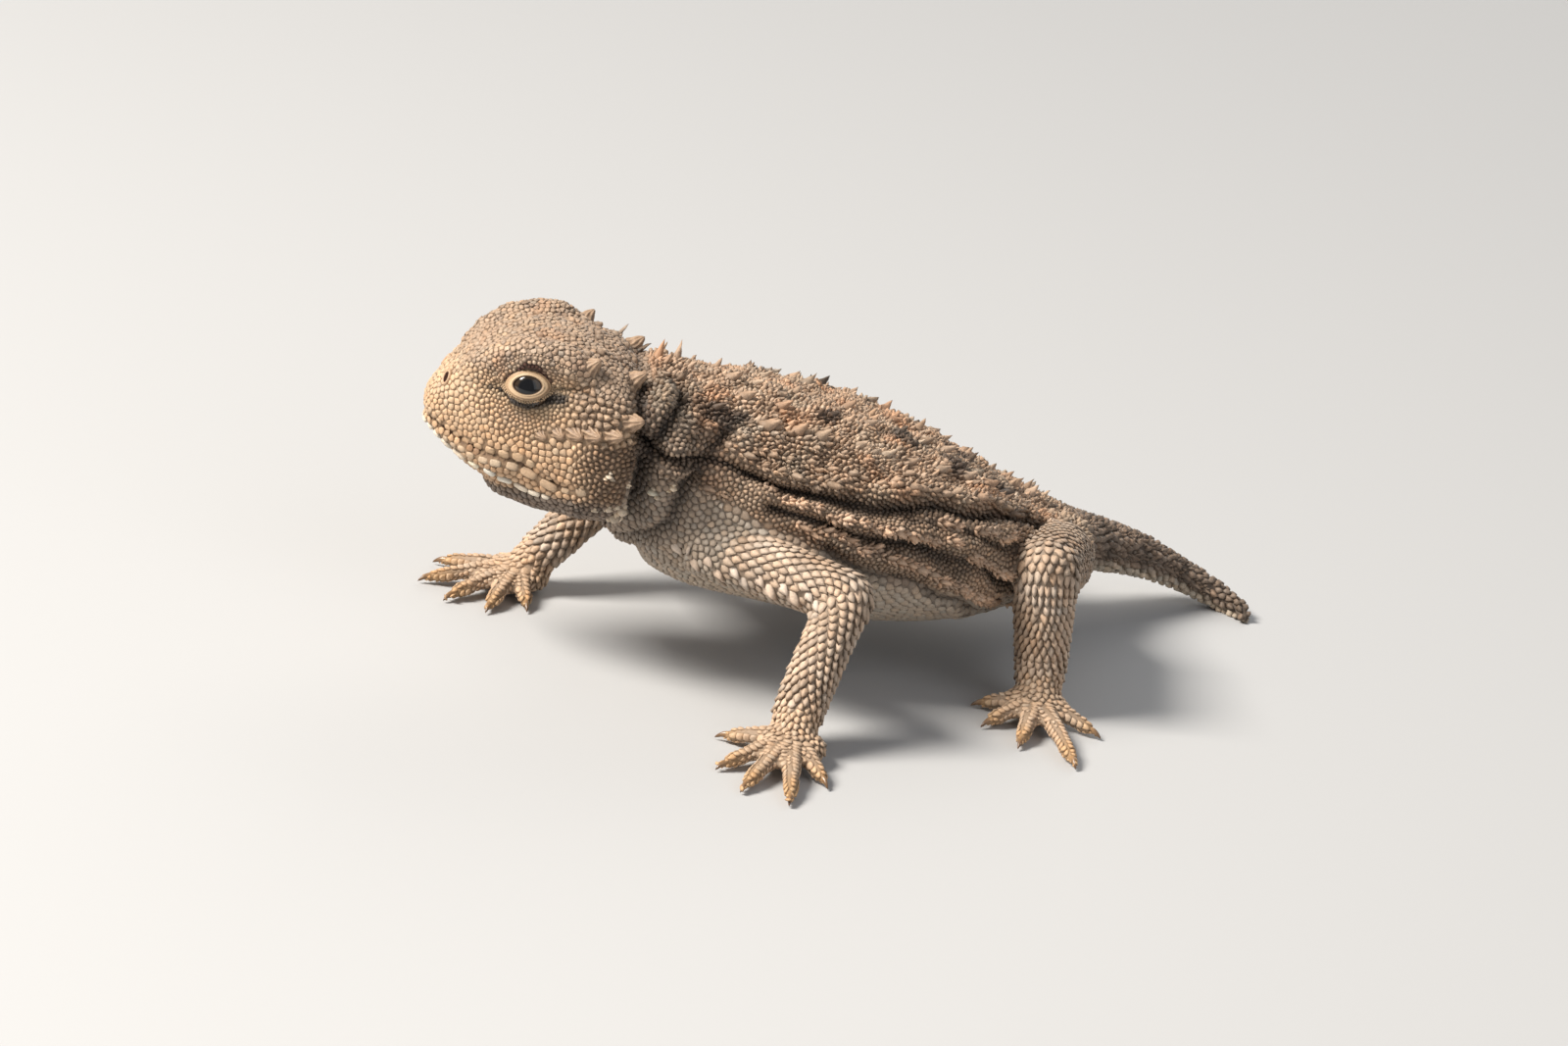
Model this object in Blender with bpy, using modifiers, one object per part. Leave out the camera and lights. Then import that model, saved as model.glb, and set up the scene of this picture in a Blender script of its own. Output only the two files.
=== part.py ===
"""Short-horned lizard: a still, life-size museum model, alert on four feet.

The animal faces -Y with its left side at +X and stands on the floor at z = 0.
The trunk and each leg are fused from lofted bodies, then parted by thin cuts at
their joints. Eyes, horns, spines and scales are set on the finished forms. All
sizes are in millimetres until they meet Blender, which works in metres.
"""

import math
import random
from typing import NamedTuple

import bmesh
import bpy
import numpy as np
from mathutils import Matrix, Vector
from mathutils.bvhtree import BVHTree

MM = 0.001
GAP = 0.3
SEED = 31
FUSE_VOXEL = 0.25
TRUNK_SOFTENING = 9
LEG_SOFTENING = 3
TRUNK_TRIANGLES = 3500
LEG_TRIANGLES = 620

# The head: its snout tip, its turn to the animal's right, and how far the nose dips.
SNOUT_TIP = (-7.65, -16.57, 14.2)
HEAD_TURN = math.radians(31.9)
HEAD_DIP = math.radians(8.4)

# Each eye and its lids: the opening's half angles seen from the middle of the eyeball.
EYE_RADIUS = 1.65
EYE_PLACE = (-6.05, 3.3, 2.35)
EYE_FACING = (0.12, 0.95, 0.28)
LID_RADIUS = 0.36
LID_HALF_LENGTH = math.radians(62)
LID_HALF_OPENING = math.radians(35)

# The mouth runs round the snout from just below its tip, and dips to the sides.
MOUTH_CENTRE = (-6.5, 0.0, 0.0)
MOUTH_DIP = 3.4
MOUTH_CURVE = 1.2
MOUTH_CORNER = math.radians(110)
MOUTH_GROOVE_RADIUS = 0.22
LIP_RADIUS = 0.36
LIP_DISTANCE = 0.42
LIP_SINK = 0.16

NOSTRIL = ((-1.65, 0.95, 1.75), (0.45, 0.75, 0.45), 0.24)
EAR = ((-12.0, 4.4, -2.9), (-0.35, 0.9, -0.1), 0.6)

PALM = (2.1, 2.1, 1.0)
DIGIT_RADIUS = 0.56
CLAW_LENGTH = 1.1
CLAW_RADIUS = 0.32

SKIN = (0.52, 0.36, 0.25, 1.0)
SHADE = (0.40, 0.28, 0.20, 1.0)
PALE = (0.62, 0.46, 0.33, 1.0)
HORN = (0.42, 0.29, 0.20, 1.0)
PUPIL = (0.02, 0.015, 0.012, 1.0)


class Station(NamedTuple):
    """One section of a loft: its centre, half width, and reach above and below the centre."""

    place: tuple
    half_width: float
    rise: float
    fall: float


class Leg(NamedTuple):
    """One leg: its joints, the radius at each, and the ends of its digits on the floor."""

    side: str
    segments: tuple
    joints: tuple
    radii: tuple
    digits: tuple


class Horn(NamedTuple):
    """A horn on the left of the head, along the head's axes; the right one mirrors it."""

    name: str
    root: tuple
    lie: tuple
    length: float
    radius: float


# Sections of the head along its own axes: forward, up, half width, rise and fall.
HEAD_SECTIONS = (
    (0.25, -0.2, 0.2, 0.2, 0.2),
    (0.0, -0.2, 1.3, 0.9, 1.1),
    (-0.9, 0.0, 2.2, 1.9, 1.9),
    (-2.2, 0.2, 3.0, 3.1, 3.2),
    (-4.0, 0.3, 3.9, 4.6, 4.2),
    (-6.5, 0.2, 4.7, 5.2, 5.2),
    (-9.0, 0.0, 5.5, 4.9, 6.2),
    (-11.0, -0.3, 5.9, 4.3, 6.2),
    (-12.8, -0.5, 5.2, 3.7, 6.0),
    (-14.6, -0.9, 4.6, 3.2, 5.0),
    (-16.0, -1.2, 3.4, 2.6, 4.0),
    (-16.6, -1.2, 0.5, 0.5, 0.5),
)
HEAD_POWER = 2.9

# The brow ridge over each eye, along the head's axes: forward, left, up and radius.
BROW_RIDGE = (
    (-1.4, 1.2, 1.4, 0.5),
    (-2.9, 2.3, 2.9, 1.0),
    (-5.0, 3.3, 4.2, 1.2),
    (-7.2, 3.9, 4.4, 1.2),
    (-9.0, 4.2, 3.9, 1.0),
    (-10.2, 4.2, 3.0, 0.5),
)

# The cheek and temple on each side, and the throat pouch: place and half sizes.
CHEEK = ((-10.2, 3.7, -0.6), (2.6, 2.3, 2.6))
THROAT = ((-9.0, 0.0, -4.0), (5.2, 4.2, 2.4))

# Sections of the trunk and tail from the neck back.
TRUNK_SECTIONS = (
    Station((-2.4, -8.4, 15.8), 0.4, 0.4, 0.4),
    Station((-2.0, -7.6, 15.5), 4.2, 3.6, 4.8),
    Station((-1.2, -5.0, 14.8), 5.0, 4.3, 5.8),
    Station((-0.8, -2.0, 13.6), 6.0, 5.2, 6.9),
    Station((-0.5, 1.0, 12.3), 7.3, 5.8, 7.4),
    Station((-0.4, 5.0, 11.1), 9.1, 6.2, 7.0),
    Station((-0.4, 9.5, 10.0), 10.2, 6.2, 6.8),
    Station((-0.5, 14.0, 9.0), 10.3, 5.8, 6.2),
    Station((-0.7, 18.2, 8.1), 9.3, 5.0, 5.4),
    Station((-1.0, 22.0, 7.2), 7.4, 4.0, 4.4),
    Station((-1.5, 25.5, 6.6), 5.4, 3.2, 3.5),
    Station((-2.0, 29.0, 6.0), 3.8, 2.5, 2.6),
    Station((-2.6, 32.4, 5.3), 2.6, 1.9, 1.9),
    Station((-3.0, 36.0, 4.5), 2.1, 1.6, 1.6),
    Station((-3.1, 40.0, 3.4), 1.6, 1.3, 1.3),
    Station((-2.8, 43.4, 2.1), 1.2, 1.0, 1.0),
    Station((-1.7, 45.9, 1.0), 0.9, 0.8, 0.8),
    Station((-0.2, 46.8, 0.5), 0.65, 0.6, 0.7),
    Station((0.8, 46.6, 0.35), 0.45, 0.4, 0.5),
    Station((1.5, 46.1, 0.25), 0.1, 0.1, 0.1),
)
TRUNK_POWER = 2.2

# Thin cuts across the trunk: a point on each and the way it faces.
TRUNK_CUTS = (
    ((-1.0, -5.9, 14.6), (-0.52, -0.84, 0.06)),
    ((-0.8, -2.2, 14.0), (-0.24, -0.88, 0.40)),
    ((-2.2, 30.4, 5.7), (0.18, -1.0, 0.2)),
    ((-3.1, 39.0, 3.7), (0.0, -1.0, 0.3)),
)
TRUNK_CUT_RADIUS = 14.0
TRUNK_NODES = {
    "head": (-5.0, -12.0, 14.0),
    "neck": (-1.0, -3.6, 14.5),
    "torso": (-0.6, 12.0, 9.5),
    "tail_base": (-2.8, 34.5, 4.8),
    "tail_tip": (-2.2, 43.5, 2.0),
}

FORELEG = ("upper_arm", "forearm", "hand")
HINDLEG = ("thigh", "shin", "foot")

LEGS = (
    Leg(
        "left",
        FORELEG,
        ((3.6, -2.6, 9.1), (11.4, 3.0, 8.5), (14.0, -0.9, 2.3), (15.3, -2.0, 0.9)),
        (1.95, 1.72, 1.45, 1.1),
        ((12.0, -5.4), (16.4, -8.4), (19.6, -8.8), (21.9, -6.8), (20.2, -2.6)),
    ),
    Leg(
        "right",
        FORELEG,
        ((-4.2, -0.8, 10.2), (-11.6, 3.2, 7.6), (-11.0, -3.2, 2.3), (-11.4, -4.4, 0.9)),
        (2.0, 1.75, 1.35, 1.1),
        ((-6.9, -6.4), (-7.2, -9.4), (-9.4, -11.2), (-12.6, -11.1), (-15.4, -8.2)),
    ),
    Leg(
        "left",
        HINDLEG,
        ((3.2, 26.4, 6.7), (10.0, 19.8, 9.0), (11.4, 20.0, 2.4), (12.6, 19.2, 0.9)),
        (2.6, 2.1, 1.5, 1.1),
        ((10.4, 15.6), (13.6, 14.0), (17.0, 14.4), (20.4, 16.4), (16.6, 21.6)),
    ),
    Leg(
        "right",
        HINDLEG,
        ((-4.6, 26.4, 6.7), (-12.2, 20.6, 8.8), (-13.4, 21.6, 2.4), (-14.4, 20.6, 0.9)),
        (2.6, 2.1, 1.5, 1.1),
        ((-12.4, 16.6), (-15.2, 15.2), (-18.4, 15.4), (-21.8, 17.4), (-18.6, 22.4)),
    ),
)

class SpineRow(NamedTuple):
    """A row of spines along each flank of the trunk.

    It runs from start to end along Y, at an angle up from the widest line of each section
    that changes evenly from one end to the other. Lean is how far the spines lie back.
    """

    start: float
    end: float
    angles: tuple
    spacing: float
    length: float
    radius: float
    lean: float


TORSO_ROWS = (
    SpineRow(2.5, 22.0, (0, -26), 1.3, 1.2, 0.48, 1.0),
    SpineRow(1.0, 22.0, (13, -6), 1.75, 1.3, 0.52, 1.4),
    SpineRow(-1.0, 24.0, (28, 10), 2.0, 1.3, 0.54, 1.4),
    SpineRow(-0.5, 26.5, (43, 28), 2.2, 1.2, 0.54, 0.9),
    SpineRow(0.5, 28.0, (59, 48), 2.3, 1.1, 0.52, 0.6),
    SpineRow(1.5, 29.0, (76, 68), 2.5, 1.0, 0.5, 0.5),
)
NECK_ROWS = (
    SpineRow(-4.6, -2.4, (82, 82), 1.6, 1.3, 0.5, 0.5),
    SpineRow(-4.8, -2.6, (60, 60), 1.6, 1.3, 0.5, 0.5),
    SpineRow(-5.2, -3.0, (38, 38), 1.6, 1.3, 0.5, 0.6),
    SpineRow(-5.4, -3.0, (-14, -14), 1.3, 1.2, 0.45, 0.8),
)
TAIL_BASE_ROWS = (
    SpineRow(31.6, 38.0, (-5, 0), 1.3, 1.1, 0.42, 1.0),
    SpineRow(31.4, 38.0, (50, 50), 1.8, 1.0, 0.4, 0.8),
)
TAIL_TIP_ROWS = (
    SpineRow(39.8, 45.5, (0, 0), 1.3, 0.9, 0.34, 1.1),
    SpineRow(39.8, 43.5, (55, 55), 1.8, 0.8, 0.32, 0.9),
)

# Scales that stand up along a limb segment: how far round it they sit, from its
# leading edge over the top, then how many, their length and their radius.
LIMB_ROWS = {
    "upper_arm": ((15, 6, 0.8, 0.5), (75, 5, 0.6, 0.5), (140, 4, 0.6, 0.45)),
    "forearm": ((30, 4, 0.7, 0.42), (110, 4, 0.7, 0.42), (190, 4, 0.8, 0.42)),
    "thigh": ((150, 4, 0.9, 0.45), (80, 4, 0.6, 0.45)),
    "shin": ((60, 4, 0.6, 0.42), (140, 4, 0.9, 0.42), (190, 4, 0.9, 0.42)),
}

# Enlarged scales over the corner of the mouth, by how far round it they sit and how
# far above its line, and the spiny scales of the cheek and the end of the jaw.
JAW_SCALES = ((73, 1.0), (86, 1.0), (99, 0.65), (110, 0.35), (119, 0.1))
JAW_SCALE_RADIUS = 0.48
JAW_SCALE_HEIGHT = 0.3
CHEEK_SPINES = (
    ((-7.7, 4.7, 0.3), (-0.35, 0.9, 0.1)),
    ((-8.7, 5.0, 0.3), (-0.35, 0.9, 0.1)),
    ((-10.8, 5.2, -1.75), (-0.35, 0.9, -0.1)),
    ((-10.1, 5.0, -3.4), (-0.35, 0.9, -0.2)),
)
CHEEK_SPINE_LENGTH = 0.7
CROWN_SPINE_LENGTH = 0.6
SMALL_SPINE_RADIUS = 0.4

# Small spines on the crown between and behind the horns: forward and left.
CROWN_SPINES = ((-11.9, 1.3), (-10.3, 2.6), (-8.6, 1.6), (-10.2, 0.5), (-6.6, 2.2))

HORNS = (
    Horn("brow", (-9.3, 4.2, 3.7), (-0.5, 0.5, 0.7), 1.3, 0.72),
    Horn("occipital", (-12.0, 2.9, 2.6), (-0.7, 0.25, 0.65), 1.7, 0.9),
    Horn("temporal_1", (-11.7, 4.8, 0.8), (-0.7, 0.65, 0.25), 1.5, 0.95),
    Horn("temporal_2", (-10.9, 5.2, 0.2), (-0.5, 0.8, 0.15), 1.25, 0.85),
    Horn("temporal_3", (-9.7, 5.2, 0.2), (-0.4, 0.9, 0.1), 1.0, 0.75),
)


def make_head_frame():
    """Axes of the head: forward along the snout, left, and up, at the snout tip."""
    level = Vector((-math.sin(HEAD_TURN), -math.cos(HEAD_TURN), 0))
    left = Vector((math.cos(HEAD_TURN), -math.sin(HEAD_TURN), 0))
    forward = level * math.cos(HEAD_DIP) - Vector((0, 0, math.sin(HEAD_DIP)))
    frame = Matrix((forward, left, forward.cross(left))).transposed().to_4x4()
    frame.translation = Vector(SNOUT_TIP)
    return frame


HEAD_FRAME = make_head_frame()


def head_point(forward, left, up):
    """A point given from the snout tip along the head's own axes."""
    return HEAD_FRAME @ Vector((forward, left, up))


def head_direction(forward, left, up):
    """A direction given along the head's own axes."""
    return (HEAD_FRAME.to_3x3() @ Vector((forward, left, up))).normalized()


def catmull_rom(values, steps):
    """Smooth curve through the rows of values, with that many steps from each to the next."""
    rows = np.asarray(values, float)
    padded = np.vstack([2 * rows[0] - rows[1], rows, 2 * rows[-1] - rows[-2]])
    curve = []
    for index in range(len(rows) - 1):
        a, b, c, d = padded[index : index + 4]
        for t in np.arange(steps) / steps:
            bend = t * t * (a - 2.5 * b + 2 * c - 0.5 * d)
            curve.append(b + 0.5 * t * (c - a) + bend + t**3 * (1.5 * (b - c) + 0.5 * (d - a)))
    curve.append(rows[-1])
    return np.array(curve)


def loft(stations, sides=16, steps=3, power=2.0, upright=(0, 0, 1)):
    """Closed body on a smooth curve of sections: the rings of a UV sphere are moved onto them."""
    curve = catmull_rom([(*s.place, s.half_width, s.rise, s.fall) for s in stations], steps)
    last = len(curve) - 1
    tangents = np.gradient(curve[:, :3], axis=0)
    form = bmesh.new()
    bmesh.ops.create_uvsphere(form, u_segments=sides, v_segments=last, radius=1)
    for vert in form.verts:
        ring = round(math.acos(max(-1.0, min(1.0, vert.co.z))) / math.pi * last)
        centre = Vector(curve[ring, :3])
        if ring in (0, last):
            vert.co = centre
            continue
        side = Vector(tangents[ring]).cross(Vector(upright)).normalized()
        up = side.cross(Vector(tangents[ring])).normalized()
        width, rise, fall = curve[ring, 3:]
        reach = math.hypot(vert.co.x, vert.co.y)
        across = vert.co.x / reach
        above = vert.co.y / reach
        x = math.copysign(abs(across) ** (2 / power), across) * width
        z = math.copysign(abs(above) ** (2 / power), above) * (rise if above > 0 else fall)
        vert.co = centre + side * x + up * z
    return form


def rod(rows, sides=12, steps=3, upright=(0, 0, 1)):
    """Round loft from rows of x, y, z and radius."""
    stations = [Station(row[:3], row[3], row[3], row[3]) for row in rows]
    return loft(stations, sides, steps, 2.0, upright)


def ball(centre, radii, turn=None):
    """Ellipsoid with its half sizes along the axes of turn."""
    form = bmesh.new()
    bmesh.ops.create_uvsphere(form, u_segments=16, v_segments=10, radius=1)
    axes = turn or Matrix.Identity(3)
    place = Matrix.Translation(centre) @ axes.to_4x4() @ Matrix.Diagonal((*radii, 1))
    bmesh.ops.transform(form, matrix=place, verts=form.verts)
    return form


def cone(root, lie, length, radius, tip_radius=0.0, sides=4, depth=0.5):
    """Tapered spike along lie, pointed or blunt, with its root sunk by that depth."""
    form = bmesh.new()
    whole = length + depth
    bmesh.ops.create_cone(
        form,
        cap_ends=True,
        segments=sides,
        radius1=radius,
        radius2=tip_radius,
        depth=whole,
    )
    turn = Vector(lie).to_track_quat("Z", "Y").to_matrix().to_4x4()
    middle = Vector(root) + Vector(lie).normalized() * (whole / 2 - depth)
    bmesh.ops.transform(form, matrix=Matrix.Translation(middle) @ turn, verts=form.verts)
    return form


def slab(place, facing, radius):
    """Thin round cutter as thick as the gap between two nodes."""
    return cone(place, facing, GAP / 2, radius, radius, 24, GAP / 2)


def joined(forms):
    """One bmesh that holds all the given ones."""
    whole = bmesh.new()
    for form in forms:
        mesh = bpy.data.meshes.new("piece")
        form.to_mesh(mesh)
        form.free()
        whole.from_mesh(mesh)
        bpy.data.meshes.remove(mesh)
    return whole


def new_object(name, form, collection):
    """Turns a bmesh in millimetres into an object in metres, with its faces pointing out."""
    bmesh.ops.recalc_face_normals(form, faces=form.faces)
    bmesh.ops.scale(form, vec=(MM, MM, MM), verts=form.verts)
    mesh = bpy.data.meshes.new(name)
    form.to_mesh(mesh)
    form.free()
    obj = bpy.data.objects.new(name, mesh)
    collection.objects.link(obj)
    return obj


def apply_modifiers(obj):
    """Replaces an object's mesh by what its modifiers make of it."""
    bpy.context.view_layer.update()
    graph = bpy.context.evaluated_depsgraph_get()
    mesh = bpy.data.meshes.new_from_object(obj.evaluated_get(graph))
    old = obj.data
    obj.modifiers.clear()
    obj.data = mesh
    bpy.data.meshes.remove(old)


def fuse(name, forms, triangles, softening, collection):
    """Melts overlapping bodies into one smooth closed body of about that many triangles."""
    obj = new_object(name, joined(forms), collection)
    remesh = obj.modifiers.new("fuse", "REMESH")
    remesh.mode = "VOXEL"
    remesh.voxel_size = FUSE_VOXEL * MM
    soften = obj.modifiers.new("soften", "SMOOTH")
    soften.factor = 0.5
    soften.iterations = softening
    apply_modifiers(obj)
    obj.data.calc_loop_triangles()
    thin = obj.modifiers.new("thin", "DECIMATE")
    thin.ratio = triangles / len(obj.data.loop_triangles)
    apply_modifiers(obj)
    return obj


def combine(obj, forms, operation, cutters):
    """One Boolean of the object with all the forms, applied, and the forms removed."""
    group = bpy.data.collections.new("operands")
    cutters.children.link(group)
    for form in forms:
        operand = form if isinstance(form, bpy.types.Object) else new_object("cutter", form, group)
        if operand.name not in group.objects:
            group.objects.link(operand)
        operand.hide_render = True
        operand.display_type = "WIRE"
    change = obj.modifiers.new(operation.lower(), "BOOLEAN")
    change.operation = operation
    change.operand_type = "COLLECTION"
    change.collection = group
    apply_modifiers(obj)
    for operand in list(group.objects):
        bpy.data.objects.remove(operand)
    bpy.data.collections.remove(group)


def islands(obj):
    """The closed surfaces of an object's mesh, each as a bmesh in metres, largest first."""
    form = bmesh.new()
    form.from_mesh(obj.data)
    bmesh.ops.triangulate(form, faces=form.faces)
    left = set(form.verts)
    groups = []
    while left:
        reached = {left.pop()}
        edge = list(reached)
        while edge:
            vert = edge.pop()
            for other in (link.other_vert(vert) for link in vert.link_edges):
                if other in left:
                    left.discard(other)
                    reached.add(other)
                    edge.append(other)
        groups.append({vert.index for vert in reached})
    pieces = []
    for group in groups:
        piece = form.copy()
        away = [vert for vert in piece.verts if vert.index not in group]
        bmesh.ops.delete(piece, geom=away, context="VERTS")
        pieces.append(piece)
    form.free()
    return sorted(pieces, key=lambda piece: -piece.calc_volume(signed=False))


def keep_largest(obj):
    """Leaves only the largest closed surface of the object's mesh."""
    pieces = islands(obj)
    pieces[0].to_mesh(obj.data)
    for piece in pieces:
        piece.free()


def part_nodes(obj, labels, collection):
    """Makes each piece of a cut body its own object, named by the label nearest to its middle."""
    for piece in islands(obj):
        middle = sum((vert.co for vert in piece.verts), Vector()) / len(piece.verts) / MM
        name = min(labels, key=lambda label: (Vector(labels[label]) - middle).length)
        if name in collection.objects:
            piece.free()
            continue
        mesh = bpy.data.meshes.new(name)
        piece.to_mesh(mesh)
        piece.free()
        collection.objects.link(bpy.data.objects.new(name, mesh))
    bpy.data.objects.remove(obj)


def inflated(obj, collection):
    """A copy of the object that stands out from it by the gap all over."""
    form = bmesh.new()
    form.from_mesh(obj.data)
    form.normal_update()
    for vert, normal in [(vert, vert.normal.copy()) for vert in form.verts]:
        vert.co += normal * GAP * MM
    mesh = bpy.data.meshes.new("inflated")
    form.to_mesh(mesh)
    form.free()
    copy = bpy.data.objects.new("inflated", mesh)
    collection.objects.link(copy)
    return copy


def dress(obj, colour, roughness):
    """Gives the object one plain material and smooth shading."""
    material = bpy.data.materials.new(obj.name)
    material.use_nodes = True
    shader = material.node_tree.nodes["Principled BSDF"]
    shader.inputs["Base Color"].default_value = colour
    shader.inputs["Roughness"].default_value = roughness
    shader.inputs["Metallic"].default_value = 0.0
    obj.data.materials.clear()
    obj.data.materials.append(material)


def trunk_forms():
    """The overlapping bodies of head, neck, torso and tail."""
    head = [
        Station(head_point(x, 0, z)[:], width, rise, fall)
        for x, z, width, rise, fall in HEAD_SECTIONS
    ]
    axes = HEAD_FRAME.to_3x3()
    forms = [
        loft(TRUNK_SECTIONS, 32, 3, TRUNK_POWER),
        loft(head, 28, 3, HEAD_POWER),
        ball(head_point(*THROAT[0]), THROAT[1], axes),
    ]
    for side in (1, -1):
        ridge = [(*head_point(x, side * y, z), radius) for x, y, z, radius in BROW_RIDGE]
        forms.append(rod(ridge, 12, 3))
        x, y, z = CHEEK[0]
        forms.append(ball(head_point(x, side * y, z), CHEEK[1], axes))
    return forms


def digit(palm, tip):
    """One digit, arched from the palm and swollen at its end, which stops at the claw."""
    start = Vector((palm[0], palm[1], 0))
    along = Vector((*tip, 0)) - start
    reach = along.length
    bulb = reach - CLAW_LENGTH
    points = (
        (0.0, 0.7, 0.3),
        (0.15 * bulb, 0.9, DIGIT_RADIUS * 1.3),
        (0.4 * bulb, 0.95, DIGIT_RADIUS * 1.1),
        (0.7 * bulb, 0.75, DIGIT_RADIUS * 0.95),
        (bulb - 0.3, 0.5, DIGIT_RADIUS * 1.1),
        (bulb + 0.3, 0.42, DIGIT_RADIUS * 0.6),
    )
    rows = []
    for distance, height, radius in points:
        spot = start + along * (distance / reach)
        rows.append((spot.x, spot.y, height, radius))
    return rod(rows, 10, 2)


def claw(palm, tip):
    """The claw that ends one digit, its point just above the floor."""
    end = Vector((*tip, 0.16))
    along = (Vector((*tip, 0)) - Vector((palm[0], palm[1], 0))).normalized()
    root = end - along * CLAW_LENGTH + Vector((0, 0, 0.3))
    return cone(root, end - root, (end - root).length, CLAW_RADIUS, 0.0, 5, 0.4)


def leg_forms(leg):
    """The overlapping bodies of one leg."""
    root, bend, wrist, palm = leg.joints
    widest, thick, slim, end = leg.radii
    middle = (Vector(root) + Vector(bend)) / 2
    calf = Vector(bend).lerp(Vector(wrist), 0.35)
    upper = rod(((*root, 0.8), (*root, widest), (*middle, widest * 0.97), (*bend, thick)), 16, 4)
    lower = rod(
        ((*bend, 0.6), (*bend, thick * 0.95), (*calf, thick * 0.88), (*wrist, slim), (*palm, end)),
        14,
        4,
        (1, 0, 0),
    )
    forms = [upper, ball(bend, (thick,) * 3), lower, ball(palm, PALM)]
    forms.extend(digit(palm, tip) for tip in leg.digits)
    return forms


def leg_cuts(leg):
    """Thin cuts at the bend and at the wrist, square to the way the leg runs there."""
    root, bend, wrist, palm = (Vector(joint) for joint in leg.joints)
    upper = (bend - root).normalized()
    lower = (wrist - bend).normalized()
    thick, slim = leg.radii[1:3]
    return [
        slab(bend, upper + lower, thick * 1.9),
        slab(wrist, lower, slim * 2.4),
    ]


def floor_block():
    """Block under the floor, which trims soles to small flats at one level."""
    form = bmesh.new()
    bmesh.ops.create_cube(form, size=1)
    place = Matrix.Translation((0, 15, -5)) @ Matrix.Diagonal((80, 100, 10, 1))
    bmesh.ops.transform(form, matrix=place, verts=form.verts)
    return form


def build_leg(leg, trunk, parts, cutters):
    """One leg in three nodes, cut clear of the trunk, with flat soles."""
    body = fuse("leg", leg_forms(leg), LEG_TRIANGLES, LEG_SOFTENING, parts)
    claws = [claw(leg.joints[-1], tip) for tip in leg.digits]
    combine(body, claws, "UNION", cutters)
    combine(body, [floor_block(), inflated(trunk, cutters), *leg_cuts(leg)], "DIFFERENCE", cutters)
    root, bend, wrist, palm = (Vector(joint) for joint in leg.joints)
    spots = (root.lerp(bend, 0.7), bend.lerp(wrist, 0.5), palm)
    labels = {f"{name}_{leg.side}": spot for name, spot in zip(leg.segments, spots)}
    part_nodes(body, labels, parts)


def surface_of(obj):
    """Search tree over the object's surface, in millimetres."""
    form = bmesh.new()
    form.from_mesh(obj.data)
    bmesh.ops.scale(form, vec=(1 / MM,) * 3, verts=form.verts)
    tree = BVHTree.FromBMesh(form)
    form.free()
    return tree


def surface_spot(tree, spot, lie, reach=6.0):
    """Where the surface is met by a ray that comes back along lie towards the spot."""
    lie = Vector(lie).normalized()
    hit, normal, _, _ = tree.ray_cast(Vector(spot) + lie * reach, -lie)
    return hit, normal


def lid(centre, side, half_opening):
    """One eyelid: a bar bowed over the eyeball from one corner of the eye to the other."""
    a, b, c = EYE_FACING
    facing = head_direction(a, side * b, c)
    along = facing.cross(head_direction(0, 0, 1)).normalized()
    upward = along.cross(facing)
    reach = EYE_RADIUS + GAP + 0.1
    rows = []
    for step in range(9):
        turn = math.pi * step / 8
        swing = math.cos(turn) * LID_HALF_LENGTH
        lift = math.sin(turn) * half_opening
        line = facing * math.cos(swing) * math.cos(lift) + along * math.sin(swing)
        line += upward * math.cos(swing) * math.sin(lift)
        rows.append((*(centre + line.normalized() * reach), LID_RADIUS))
    return rod(rows, 6, 1, facing)


def build_eyes(head, parts, cutters):
    """Eyes in open sockets, each behind an upper and a lower lid fused to the head."""
    x, y, z = EYE_PLACE
    lids = []
    sockets = []
    for side, word in ((1, "left"), (-1, "right")):
        centre = head_point(x, side * y, z)
        lids.append(lid(centre, side, LID_HALF_OPENING))
        lids.append(lid(centre, side, -LID_HALF_OPENING))
        sockets.append(ball(centre, (EYE_RADIUS + GAP,) * 3))
        new_object(f"eye_{word}", ball(centre, (EYE_RADIUS,) * 3), parts)
    combine(head, lids, "UNION", cutters)
    combine(head, sockets, "DIFFERENCE", cutters)


def mouth_spot(tree, turn, rise):
    """A point on the head's surface near the mouth line, that far round it and above it."""
    x, y, z = MOUTH_CENTRE
    level = z - MOUTH_DIP * abs(math.sin(turn)) ** MOUTH_CURVE + rise
    outward = head_direction(math.cos(turn), math.sin(turn), 0)
    return surface_spot(tree, head_point(x, y, level), outward, 12.0)


def mouth_bar(tree, rise, radius, sink=0.0):
    """A bar that follows the mouth from corner to corner at that distance above its line."""
    rows = []
    for turn in np.linspace(-MOUTH_CORNER, MOUTH_CORNER, 15):
        spot, normal = mouth_spot(tree, turn, rise)
        rows.append((*(spot - normal * sink), radius))
    return rod(rows, 6, 1)


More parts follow.
